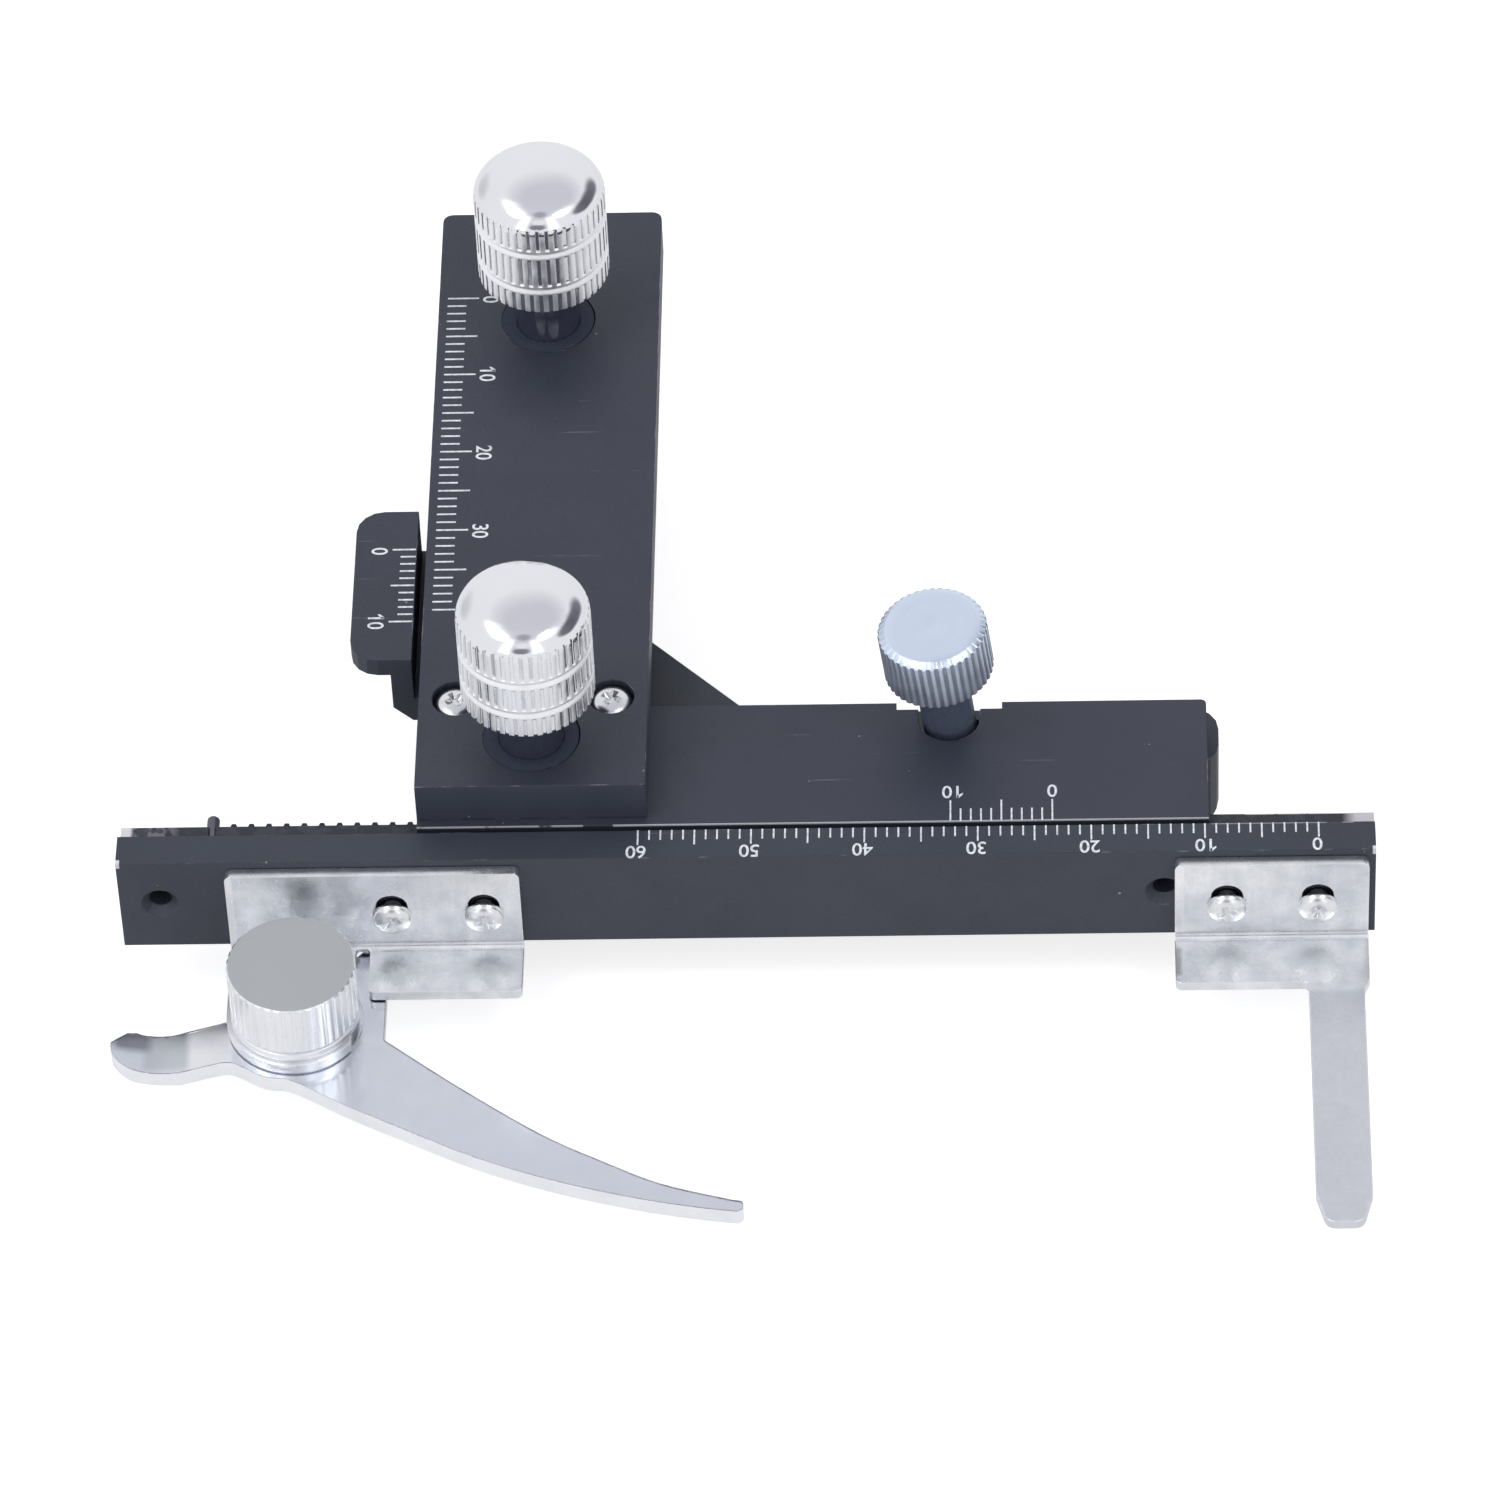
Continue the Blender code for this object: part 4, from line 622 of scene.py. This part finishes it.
def makeRing(name, ring, place, finish, body, node):
    # the outer circle stands off the bore's centre by the shift
    low, high, edge, shift = ring["low"], ring["high"], ring["edge"], ring["shift"]
    angles = evenAngles(96)
    outer = ((low, edge), (low + edge, 0.0), (high - edge, 0.0), (high - edge * 0.3, edge * 0.3),
             (high, edge))
    line = [(low, ring["bore"])]
    for height, less in outer:
        radius = ring["radius"] - less
        line.append((height, [shift * cos(a) + sqrt(radius ** 2 - (shift * sin(a)) ** 2) for a in angles]))
    line.append((high, ring["bore"]))
    piece = makePiece(name, turned(line, angles, True), (finish,), body, (*place, 0.0))
    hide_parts(node)


for end, place in spindles.items():
    name, node = "spindleBush" + end.title(), end + "_bush"
    makeRing(name, spindleBush, place, "bush", "carriage", node)
makeRing("pivotWasherTurned", pivotWasher, pivot, "rib", "rail", "pivot_washer")
print("bushes and washer made")


# Clamp thumb screw, leaning in its hole

clampKnob = {
    "place": (36.8, 0.1, 13.1),
    "lean": (-0.104444, -0.040132, 0.993721),
    "radius": 4.9,
    "low": 5.9,
    "high": 11.9,
    "bevel": 0.62,
    "knurls": 42,
    "knurlDepth": 0.14,
    "knurlGap": 0.5,
    "bore": 2.45,
    # rings at the foot, as height and distance in from the side; at the bevel, as shares of it; on the
    # slightly uneven top, as depth and radius
    "footRings": ((0.0, 0.75), (0.35, 0.3), (0.6, 0.0)),
    "bevelRings": ((0.8, 0.0), (0.62, 0.12), (0.12, 1.0)),
    "topRings": ((0.02, 4.18), (0.0, 4.03), (0.0, 3.4), (0.02, 2.0), (0.0, 0.9), (0.03, 0.5), (0.05, 0.0)),
}


def makeClampKnob():
    knob = clampKnob
    angles, depths = fluteSteps(knob["knurls"], knob["knurlGap"], knob["knurlDepth"])
    radius, low, high, bevel = knob["radius"], knob["low"], knob["high"], knob["bevel"]
    line = [(low, 0.0), (low, knob["bore"])]
    line += [(low + up, radius - less) for up, less in knob["footRings"]]
    line += [(high - bevel * down, radius - bevel * less) for down, less in knob["bevelRings"]]
    line += [(high - down, ring) for down, ring in knob["topRings"]]
    bm = turned(cutIn(line, radius, depths, lambda height: 1), angles)
    # the knurled side is duller than the top
    for face in bm.faces:
        out = sum(v.co.to_2d().length for v in face.verts) / len(face.verts)
        side = abs(face.calc_center_median().z - (low + high) / 2) < (high - low) / 2 - bevel * 0.75
        face.material_index = 1 if side and out > radius - knob["knurlDepth"] - 0.05 else 0
    piece = makePiece("clampKnobKnurled", bm, ("zinc", "knurlGap"), "clamp_screw",
                      knob["place"])
    piece.rotation_mode = "QUATERNION"
    piece.rotation_quaternion = Vector(knob["lean"]).to_track_quat("Z", "Y")
    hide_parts("clamp_knob")


makeClampKnob()
print("clamp knob made")


# Cross-head screws

crossScrew = {
    # a head is its radius, the height of its rim and the rise of its crown
    "bracketHead": (1.75, 0.35, 0.8),
    "guideHead": (1.8, 0.85, 0.7),
    "headEdge": 0.08,
    "shankRadius": 1.0,
    "shankTip": 0.2,
    "bracketShank": 3.4,
    "guideShank": 5.6,
    "edge": 0.05,
    "crossLong": 1.1,
    "crossWide": 0.34,
    # height over the mouth, share of the length and share of the width
    "crossRows": ((0.5, 1.25, 1.25), (0.0, 1.0, 1.0), (-0.5, 0.32, 0.45)),
    "bracketY": -17.95,
    "bracketZ": 7.1,
    "guideY": -1.3,
    "guideSeat": 15.85,
    "guideX": {"left": -6.95, "right": 6.95},
    # how far each cross is turned, in degrees
    "guideTurns": {"left": 30, "right": 62},
    "bracketTurns": {"left": (23, 8), "right": (14, 38)},
}


def crossCutter(top, turn):
    # one bar of the cross: wide at the mouth and narrow at the floor
    screw = crossScrew
    bm = bmesh.new()
    rows = []
    for rise, long, wide in screw["crossRows"]:
        a, b = screw["crossLong"] * long, screw["crossWide"] * wide
        corners = ((-a, -b), (a, -b), (a, b), (-a, b))
        spun = [(x * cos(turn) - y * sin(turn), x * sin(turn) + y * cos(turn)) for x, y in corners]
        rows.append([bm.verts.new((x, y, top + rise)) for x, y in spun])
    bm.faces.new(rows[0])
    bm.faces.new(rows[-1][::-1])
    for first, second in zip(rows, rows[1:]):
        for side in range(4):
            bm.faces.new((first[side], second[side], second[(side + 1) % 4], first[(side + 1) % 4]))
    return bm


def makeCrossScrew(name, place, body, node, head, length, turn, outwards=False):
    shank, tip, edge = crossScrew["shankRadius"], crossScrew["shankTip"], crossScrew["headEdge"]
    headRadius, rim, crown = head
    line = [(-length, 0.0), (-length, shank - tip), (-length + tip, shank), (0.0, shank),
            (0.0, headRadius - edge), (edge, headRadius), (rim, headRadius)]
    turns = [pi / 2 * step / 12 for step in range(1, 12)]
    line += [(rim + crown * sin(t), headRadius * cos(t)) for t in turns]
    line.append((rim + crown, 0.0))
    piece = makePiece(name, turned(line, evenAngles(48)), ("screw",), body, place)
    carved(piece, [crossCutter(rim + crown, radians(way)) for way in (turn, turn + 90)])
    if outwards:
        piece.rotation_euler = (pi / 2, 0, 0)
    bevelled(piece, crossScrew["edge"], 1, 40)
    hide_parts(node)


for side, x in crossScrew["guideX"].items():
    place = (x, crossScrew["guideY"], crossScrew["guideSeat"])
    makeCrossScrew("guideScrew" + side.title(), place, "carriage", "guide_screw_" + side,
                   crossScrew["guideHead"], crossScrew["guideShank"], crossScrew["guideTurns"][side])
for side, columns in screwsX.items():
    for letter, x, turn in zip("ab", columns, crossScrew["bracketTurns"][side]):
        place = (x, crossScrew["bracketY"], crossScrew["bracketZ"])
        makeCrossScrew("cross" + side.title() + "BracketScrew" + letter.upper(), place, "rail",
                       side + "_bracket_screw_" + letter, crossScrew["bracketHead"],
                       crossScrew["bracketShank"], turn, True)
print("cross-head screws made")


# Holder brackets, drawn as a flat pattern of the sheet and bent over the rail's lower edge

bracketSheet = {
    "faceY": -17.9,
    "topZ": 12.35,
    "bend": 0.7,
    "shelfZ": 3.0,
    "frontY": -23.35,
    "thick": 1.0,
    "corner": 0.7,
    "slotWide": 2.8,
    "slotHigh": 4.2,
    "slotZ": 7.6,
    "edge": 0.2,
    "bendSteps": 10,
}
# how far down the sheet the bend starts, and the sheet's length round it
bendStart = bracketSheet["topZ"] - bracketSheet["shelfZ"] - bracketSheet["bend"]
bendLength = bracketSheet["bend"] * pi / 2


def bendPlace(x, run, depth):
    # run is the distance down the sheet's shown face from its top edge, depth the distance into the sheet
    sheet = bracketSheet
    y, z = sheet["faceY"] - sheet["bend"], sheet["shelfZ"] + sheet["bend"]
    if run <= bendStart:
        return (x, sheet["faceY"] + depth, sheet["topZ"] - run)
    if run <= bendStart + bendLength:
        turn, reach = (run - bendStart) / sheet["bend"], sheet["bend"] + depth
        return (x, y + reach * cos(turn), z - reach * sin(turn))
    return (x, y - (run - bendStart - bendLength), sheet["shelfZ"] - depth)


def runAtY(y):
    return bendStart + bendLength + (bracketSheet["faceY"] - bracketSheet["bend"]) - y


def runAtZ(z):
    return bracketSheet["topZ"] - z


def softOutline(corners, steps=6):
    # corners of (x, y, radius); a radius of 0 leaves the corner sharp
    points = []
    for index, (x, y, radius) in enumerate(corners):
        corner, after = Vector((x, y)), corners[(index + 1) % len(corners)]
        a, b = ((Vector(other[:2]) - corner).normalized() for other in (corners[index - 1], after))
        reach = radius / sqrt((1 - a.dot(b)) / (1 + a.dot(b))) if radius else 0
        start, end = corner + a * reach, corner + b * reach
        for t in [step / steps for step in range(steps + 1)] if radius else [0]:
            points.append(tuple(start * (1 - t) ** 2 + corner * 2 * t * (1 - t) + end * t * t))
    return points


def sheetPiece(name, outline, holes, node):
    # the flat pattern is cut across its bend, given a back and then bent
    loops = [[Vector((x, run, 0)) for x, run in loop] for loop in [outline, *holes]]
    flat = [p for loop in loops for p in loop]
    bm = bmesh.new()
    verts = [bm.verts.new(p) for p in flat]
    for triangle in tessellate_polygon(loops):
        bm.faces.new([verts[i] for i in triangle])
    for step in range(bracketSheet["bendSteps"] + 1):
        cutAcross(bm, (0, bendStart + bendLength * step / bracketSheet["bendSteps"], 0), (0, 1, 0))
    shown = {v: v.co.copy() for v in bm.verts}
    rim = [e for e in bm.edges if len(e.link_faces) == 1]
    back = {v: bm.verts.new(bendPlace(c.x, c.y, bracketSheet["thick"])) for v, c in shown.items()}
    for face in list(bm.faces):
        bm.faces.new([back[v] for v in reversed(face.verts)])
    for edge in rim:
        a, b = edge.verts
        bm.faces.new((a, b, back[b], back[a]))
    for vert, flatPlace in shown.items():
        vert.co = bendPlace(flatPlace.x, flatPlace.y, 0.0)
    bmesh.ops.dissolve_limit(bm, angle_limit=radians(0.5), verts=bm.verts, edges=bm.edges)
    piece = makePiece(name, bm, ("bracket",), "rail")
    bevelled(piece, bracketSheet["edge"], 3, 50)
    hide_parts(node)


def slotHole(x):
    sheet = bracketSheet
    half = sheet["slotWide"] / 2
    reach = sheet["slotHigh"] / 2 - half
    loop = arc((x, sheet["slotZ"] + reach), half, 0, pi, 12)
    loop += arc((x, sheet["slotZ"] - reach), half, pi, 2 * pi, 12)
    return [(a, runAtZ(b)) for a, b in loop]


leftBracket = {"left": -27.1, "right": -1.05, "lugRight": -16.0, "shelfLeft": -14.7, "lugRadius": 6.1,
               "postHole": 1.65, "gapTop": 0.75, "gapCorner": 0.35}
rightBracket = {"left": 56.7, "right": 73.8, "fingerLeft": 68.4, "fingerRight": 73.3, "tipY": -51.05,
                "shoulder": (0.4, 0.9), "shoulderCorner": 1.2, "taper": 3.2, "taperCorner": 1.6,
                "tipCorner": 1.1, "rootCorner": 0.5}


def makeLeftBracket():
    part, corner = leftBracket, bracketSheet["corner"]
    gapTop = runAtZ(bracketSheet["shelfZ"] + bracketSheet["bend"]) + part["gapTop"]
    front = runAtY(bracketSheet["frontY"])
    turn = -acos((part["lugRight"] - pivot[0]) / part["lugRadius"])
    lug = [(x, runAtY(y)) for x, y in arc(pivot, part["lugRadius"], turn, -pi, 30)]
    outline = softOutline([(*lug[-1], 0), (part["left"], 0.0, corner), (part["right"], 0.0, corner),
                           (part["right"], front, corner), (part["shelfLeft"], front, corner),
                           (part["shelfLeft"], gapTop, part["gapCorner"]),
                           (part["lugRight"], gapTop, part["gapCorner"]), (*lug[0], 0)])
    hole = [(x, runAtY(y)) for x, y in arc(pivot, part["postHole"], 0, 2 * pi * 31 / 32, 31)]
    holes = [*map(slotHole, screwsX["left"]), hole]
    sheetPiece("holderBracketLeft", outline + lug[1:-1], holes, "left_bracket")


def makeRightBracket():
    part, corner = rightBracket, bracketSheet["corner"]
    front = runAtY(bracketSheet["frontY"])
    left, right, tip = part["fingerLeft"], part["fingerRight"], runAtY(part["tipY"])
    quarter = (right - left) / 4
    before, beyond = part["shoulder"]
    outline = softOutline([
        (part["left"], 0.0, corner), (part["right"], 0.0, corner),
        (part["right"], front - before, part["shoulderCorner"]),
        (right, front + beyond, part["shoulderCorner"]),
        (right, tip - part["taper"], part["taperCorner"]), (right - quarter * 0.7, tip, part["tipCorner"]),
        (left + quarter * 0.7, tip, part["tipCorner"]), (left, tip - part["taper"], part["taperCorner"]),
        (left, front, part["rootCorner"]), (part["left"], front, corner)])
    sheetPiece("holderBracketRight", outline, [*map(slotHole, screwsX["right"])], "right_bracket")


makeLeftBracket()
makeRightBracket()
print("holder brackets made")


# Swing arm: a curved finger, the hub and a thumb lever whose end curls up

swingArm = {
    # outlines are measured from the pivot; the tip and the tail are arcs
    "low": 0.2,
    "thick": 1.75,
    "hub": 6.2,
    "curlFrom": -30.3,
    "curlLength": 6.8,
    "curlRise": 0.4,
    "curlDip": 0.3,
    "curlPower": 2.6,
    "curlCuts": 20,
    "seat": 5.95,
    "seatDeep": 0.3,
    "seatTop": 1.98,
    "rollWide": 0.42,
    "rollDeep": 0.13,
    "edge": 0.12,
    "back": ((7.8, -2.2), (14.7, -7.9), (21.95, -13.37), (27.3, -16.5), (32.65, -19.25), (38.95, -21.2)),
    "tip": (39.2, -21.8, 0.65),
    "front": ((38.9, -22.4), (35.6, -21.9), (30.4, -20.8), (23.4, -18.75), (16.3, -15.93), (9.0, -12.1),
              (4.6, -9.7), (0.0, -6.9)),
    "leverFront": ((-2.58, -6.33), (-5.5, -4.7), (-7.38, -4.93), (-10.29, -5.68), (-14.22, -5.28),
                   (-16.0, -3.93), (-16.3, -2.5)),
    "leverBack": ((-14.9, -1.15), (-14.07, -1.04), (-13.09, -1.27), (-10.42, -1.21), (-6.19, 0.05)),
    "tail": (8.2, 2.2),
}


def smoothLine(points, steps=5):
    # a smooth curve through the points
    padded = [points[0], *points, points[-1]]
    line = []
    for a, b, c, d in zip(padded, padded[1:], padded[2:], padded[3:]):
        for step in range(steps):
            t = step / steps
            shares = (-t + 2 * t ** 2 - t ** 3, 2 - 5 * t ** 2 + 3 * t ** 3,
                      t + 4 * t ** 2 - 3 * t ** 3, t ** 3 - t ** 2)
            line.append(tuple(sum(s * p[k] for s, p in zip(shares, (a, b, c, d))) / 2 for k in range(2)))
    return [*line, points[-1]]


def makeSwingArm():
    arm = swingArm
    px, py = pivot
    tipX, tipY, tipRadius = arm["tip"]
    tailTop, tailRadius = arm["tail"]
    tailX, tailY = arm["back"][0][0], tailTop - tailRadius
    outline = [(tailX, tailY), *smoothLine(arm["back"])]
    outline += arc((tipX, tipY), tipRadius, radians(50), radians(-90), 8)
    outline += smoothLine([*arm["front"], *arm["leverFront"]])
    outline += smoothLine(arm["leverBack"])
    outline += arc((0, 0), arm["hub"], pi * 0.98, pi / 3, 18)
    outline += arc((tailX - tailRadius, tailY), tailRadius, pi / 2, 0.1, 6)
    low, high = arm["low"], arm["low"] + arm["thick"]
    bm = bmesh.new()
    addSlab(bm, [(px + x, py + y) for x, y in outline][::-1], low, high)
    # the stamped top edge rolls down
    top = [face for face in bm.faces if min(v.co.z for v in face.verts) > high - 0.01]
    rim = list(top[0].verts)
    bmesh.ops.inset_region(bm, faces=top, thickness=arm["rollWide"], use_even_offset=True)
    for vert in rim:
        vert.co.z -= arm["rollDeep"]
    bm.normal_update()
    # the front side and the rolled edge over it get a pale painted reflection, the rolled edge at the back
    # a dark painted reflection of the rail
    for face in bm.faces:
        if -0.5 < face.normal.z < 0.995 and face.normal.y < -0.1:
            face.material_index = 1
        elif 0.5 < face.normal.z < 0.995 and face.normal.y > 0.1:
            face.material_index = 2
    for step in range(1, arm["curlCuts"]):
        cutAcross(bm, (arm["curlFrom"] - arm["curlLength"] * step / arm["curlCuts"], 0, 0), (1, 0, 0))
    for vert in bm.verts:
        along = min(1.0, (arm["curlFrom"] - vert.co.x) / arm["curlLength"])
        if along > 0:
            vert.co.z += arm["curlRise"] * along ** arm["curlPower"] - arm["curlDip"] * sin(pi * along)
            vert.co.z = max(vert.co.z, low / 2)
    # a round seat that fills the gap up to the bracket's lug
    seat = [(px + x, py + y) for x, y in arc((0, 0), arm["seat"], 0, 2 * pi * 63 / 64, 63)]
    addSlab(bm, seat, high - arm["seatDeep"], arm["seatTop"])
    piece = makePiece("swingArmFormed", bm, ("arm", "armPaleReflection", "armDarkReflection"), "arm", sharp=24)
    bevelled(piece, arm["edge"], 2, 40)
    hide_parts("swing_arm")


makeSwingArm()
print("swing arm made")


# Scales: fine white lines and plain numerals, laid a hundredth of a millimetre proud

scaleMarks = {
    "rise": 0.012,
    "sink": 0.004,
    "numeralHigh": 1.5,
    "capitalShare": 0.73,
    "numeralWide": 0.92,
    "stroke": 0.018,
}
# lines run along Y on the rail and the guide, and along X on the bar and its vernier
linesAlongY = {"line": 0.15, "top": 13.1, "turn": 180}
linesAlongX = {"line": 0.19, "top": 17.4, "turn": -90}
# zero is where the first line stands and edge where its lines start, on the side that out points to
scales = {
    "railScale": {"body": "rail", "count": 61, "step": 1.0, "zero": 69.41, "edge": -13.55, "out": -1,
                  "long": 1.75, "short": 1.15, "numeralAt": -16.15, "shift": -0.15, **linesAlongY},
    "barScale": {"body": "carriage", "count": 41, "step": 1.0, "zero": 49.7, "edge": -9.4, "out": 1,
                 "long": 2.9, "short": 1.75, "numeralAt": -5.4, "shift": -0.18, **linesAlongX},
    "guideVernier": {"body": "carriage", "count": 11, "step": 0.9, "zero": 46.0, "edge": -12.9, "out": 1,
                     "long": 2.5, "short": 1.5, "numeralAt": -9.4, "shift": 0.0, **linesAlongY},
    "tabVernier": {"body": "base", "count": 11, "step": 0.9, "zero": 17.3, "edge": -11.13, "out": -1,
                   "long": 2.12, "short": 1.36, "numeralAt": -14.4, "shift": -0.18, **linesAlongX},
}


def addFlag(bm, stem, top, high, rise):
    # the slanted stroke of a 1, which the built-in letters leave out
    reach, wide = high * 0.27, high * 0.12
    line = ((stem + wide, top), (stem, top), (stem - reach, top - reach),
            (stem - reach, top - reach - wide * 1.2), (stem + wide, top - wide * 1.5))
    under = [bm.verts.new((x, y, -rise)) for x, y in line]
    over = [bm.verts.new((x, y, rise)) for x, y in line]
    bm.faces.new(over[::-1])
    for index, vert in enumerate(under):
        after = (index + 1) % len(under)
        bm.faces.new((vert, over[index], over[after], under[after]))


def addNumeral(bm, word, x, y, top, turn):
    marks = scaleMarks
    curve = bpy.data.curves.new("numeral", "FONT")
    curve.body = word
    curve.align_x = curve.align_y = "CENTER"
    curve.size = marks["numeralHigh"] / marks["capitalShare"]
    curve.extrude = 0.5 * (marks["rise"] + marks["sink"])
    curve.offset = marks["stroke"]
    curve.space_character = 0.98
    written = linked("numeral", curve)
    bpy.context.view_layer.update()
    mesh = written.evaluated_get(bpy.context.evaluated_depsgraph_get()).to_mesh()
    xs = [v.co.x for v in mesh.vertices]
    ys = [v.co.y for v in mesh.vertices]
    middle = Vector(((min(xs) + max(xs)) / 2, (min(ys) + max(ys)) / 2, 0))
    place = Matrix.Translation((x, y, top + marks["rise"] / 2)) @ Matrix.Rotation(radians(turn), 4, "Z")
    place = place @ Matrix.Scale(marks["numeralWide"], 4, (1, 0, 0)) @ Matrix.Translation(-middle)
    start = len(bm.verts)
    if word.startswith("1"):
        addFlag(bm, min(xs), max(ys), marks["numeralHigh"], curve.extrude)
    bm.from_mesh(mesh)
    bm.verts.ensure_lookup_table()
    for vert in bm.verts[start:]:
        vert.co = place @ vert.co
    bpy.data.objects.remove(written)
    bpy.data.curves.remove(curve)


def makeScale(name, scale):
    bm = bmesh.new()
    top, turn, alongX = scale["top"], scale["turn"], scale["turn"] == linesAlongX["turn"]
    for step in range(scale["count"]):
        long = scale["long"] if step % 5 == 0 else scale["short"]
        x, y = scale["zero"] - scale["step"] * step, scale["edge"] + scale["out"] * long / 2
        wide, high = scale["line"], long
        if alongX:
            x, y, wide, high = y, x, high, wide
        corners = [(x + a * wide / 2, y + b * high / 2) for a, b in ((-1, -1), (1, -1), (1, 1), (-1, 1))]
        addSlab(bm, corners, top - scaleMarks["sink"], top + scaleMarks["rise"])
    for step in range(0, scale["count"], 10):
        x, y = scale["zero"] - scale["step"] * step + scale["shift"], scale["numeralAt"]
        addNumeral(bm, str(step), *((y, x) if alongX else (x, y)), top, turn)
    makePiece(name, bm, ("paint",), scale["body"])


for name, scale in scales.items():
    makeScale(name, scale)
print("scales made")


# Finishes of the nodes that stay as they are

nodeFinishes = {
    "base": ("base_casting",),
    "bar": ("vernier_bracket", "y_bar"),
    "guide": ("x_guide",),
    "rail": ("x_rail",),
    "bush": ("y_pinion_shaft", "x_pinion_shaft"),
    "neck": ("clamp_stud",),
    "blackSteel": ("x_rack",),
    "screw": ("vernier_screw_front", "vernier_screw_rear"),
    "pinSteel": ("stop_pin_left", "stop_pin_right"),
    "steel": ("y_rack", "y_rack_screw_front", "y_rack_screw_rear", "locating_pin_left",
              "locating_pin_right", "pivot_post", "arm_spring"),
}

for finishName, nodeNames in nodeFinishes.items():
    for nodeName in nodeNames:
        mesh = nodes[nodeName].data
        mesh.materials.clear()
        mesh.materials.append(finishes[finishName])
print("node finishes set:", sum(map(len, nodeFinishes.values())))


# Floor and studio light

studio = {
    "floorZ": -3.6,
    "floorHalf": 1500.0,
    "floorColour": (0.52, 0.52, 0.525),
    "floorLift": 0.74,
    "floorShine": 0.36,
    # the room's own brightness, and places of it in degrees
    "room": (0.88, 0.89, 0.92),
    "bands": (
        # strips that the polished knobs mirror: azimuths from the front, elevations, softness; colour
        ((-14, 10), (30, 66), 7, (0.64, 0.64, 0.7)),
        ((-108, -44), (58, 68), 9, (1.6, 1.6, 1.62)),
        ((-32, -25), (10, 64), 7, (1.6, 1.6, 1.62)),
        ((40, 88), (57, 63), 8, (1.6, 1.6, 1.62)),
        ((21, 28), (10, 60), 7, (1.6, 1.6, 1.62)),
    ),
    "discs": (
        # round places of another brightness: azimuth, elevation, radius, softness; colour
        (150, 78, 21, 16, (0.64, 0.64, 0.7)),
        (5, 75, 11, 9, (0.66, 0.66, 0.74)),
        (2, 71, 6, 3, (0.38, 0.38, 0.42)),
        (0, 47, 7, 5, (0.88, 0.88, 0.9)),
        (-2, 24, 10, 5, (0.24, 0.24, 0.28)),
        (124, 24, 9, 8, (0.2, 0.2, 0.24)),
        (108, 29, 11, 7, (0.15, 0.15, 0.18)),
        (92, 32, 11, 7, (0.13, 0.13, 0.16)),
        (81, 35, 7, 6, (0.16, 0.16, 0.19)),
        (-128, 12, 6, 13, (0.66, 0.67, 0.72)),
    ),
    "aim": (20.0, -5.0, 10.0),
    "softboxes": (
        # place, size, power
        ((-453.0, -211.0, 866.0), 250.0, 1.0),
        ((433.0, -250.0, 866.0), 220.0, 0.8),
    ),
}


def makeFloor():
    half, z = studio["floorHalf"], studio["floorZ"]
    bm = bmesh.new()
    bm.faces.new([bm.verts.new((x * half, y * half, z)) for x, y in ((-1, -1), (1, -1), (1, 1), (-1, 1))])
    mesh = meshFrom("studioFloor", bm)
    floor = linked("studioFloor", mesh)
    finish = Finish("floorPaper")
    rays = finish.node("ShaderNodeLightPath")
    mirrored = finish.maths("MAXIMUM", rays.outputs["Is Glossy Ray"], rays.outputs["Is Transmission Ray"])
    mirrored = finish.times(mirrored, studio["floorShine"])
    shown = finish.times(rays.outputs["Is Camera Ray"], studio["floorLift"])
    finish.set(Base_Color=(*studio["floorColour"], 1.0), Roughness=0.9, Emission_Color=(1.0, 1.0, 1.0, 1.0),
               Emission_Strength=finish.maths("MAXIMUM", shown, mirrored))
    mesh.materials.append(finish.material)


def makeWorld():
    world = bpy.data.worlds.new("studioWorld")
    scene.world = world
    world.use_nodes = True
    world.node_tree.nodes.clear()
    sky = Nodes(world.node_tree)
    direction = sky.node("ShaderNodeTexCoord").outputs["Generated"]
    way = sky.node("ShaderNodeSeparateXYZ", {"Vector": direction})
    turn = sky.maths("ARCTAN2", way.outputs["X"], sky.times(way.outputs["Y"], -1.0))
    rise = sky.maths("ARCSINE", way.outputs["Z"])
    tone = studio["room"]
    for (left, right), (low, high), soft, colour in studio["bands"]:
        across = sky.within(turn, radians(left), radians(right), radians(soft))
        upright = sky.within(rise, radians(low), radians(high), radians(soft))
        tone = sky.mix(sky.times(across, upright), tone, colour)
    for azimuth, elevation, radius, soft, colour in studio["discs"]:
        a, e = radians(azimuth), radians(elevation)
        centre = (sin(a) * cos(e), -cos(a) * cos(e), sin(e))
        share = sky.ramp(sky.dot(direction, centre), cos(radians(radius + soft)), cos(radians(radius)))
        tone = sky.mix(share, tone, colour)
    light = sky.node("ShaderNodeBackground", {"Color": tone})
    white = sky.node("ShaderNodeBackground", {"Color": (1.0, 1.0, 1.0, 1.0)})
    seen = sky.node("ShaderNodeLightPath").outputs["Is Camera Ray"]
    blend = sky.node("ShaderNodeMixShader", {0: seen, 1: light.outputs[0], 2: white.outputs[0]})
    sky.node("ShaderNodeOutputWorld", {"Surface": blend.outputs[0]})


def makeSoftboxes():
    for number, (place, size, power) in enumerate(studio["softboxes"]):
        data = bpy.data.lights.new("softbox" + str(number), "AREA")
        data.size = size * mm
        data.energy = power
        lamp = linked("softbox" + str(number), data)
        lamp.location = Vector(place) * mm
        lamp.rotation_mode = "QUATERNION"
        lamp.rotation_quaternion = (lamp.location - Vector(studio["aim"]) * mm).to_track_quat("Z", "Y")
        lamp.visible_camera = False


makeFloor()
makeWorld()
makeSoftboxes()
print("studio made")
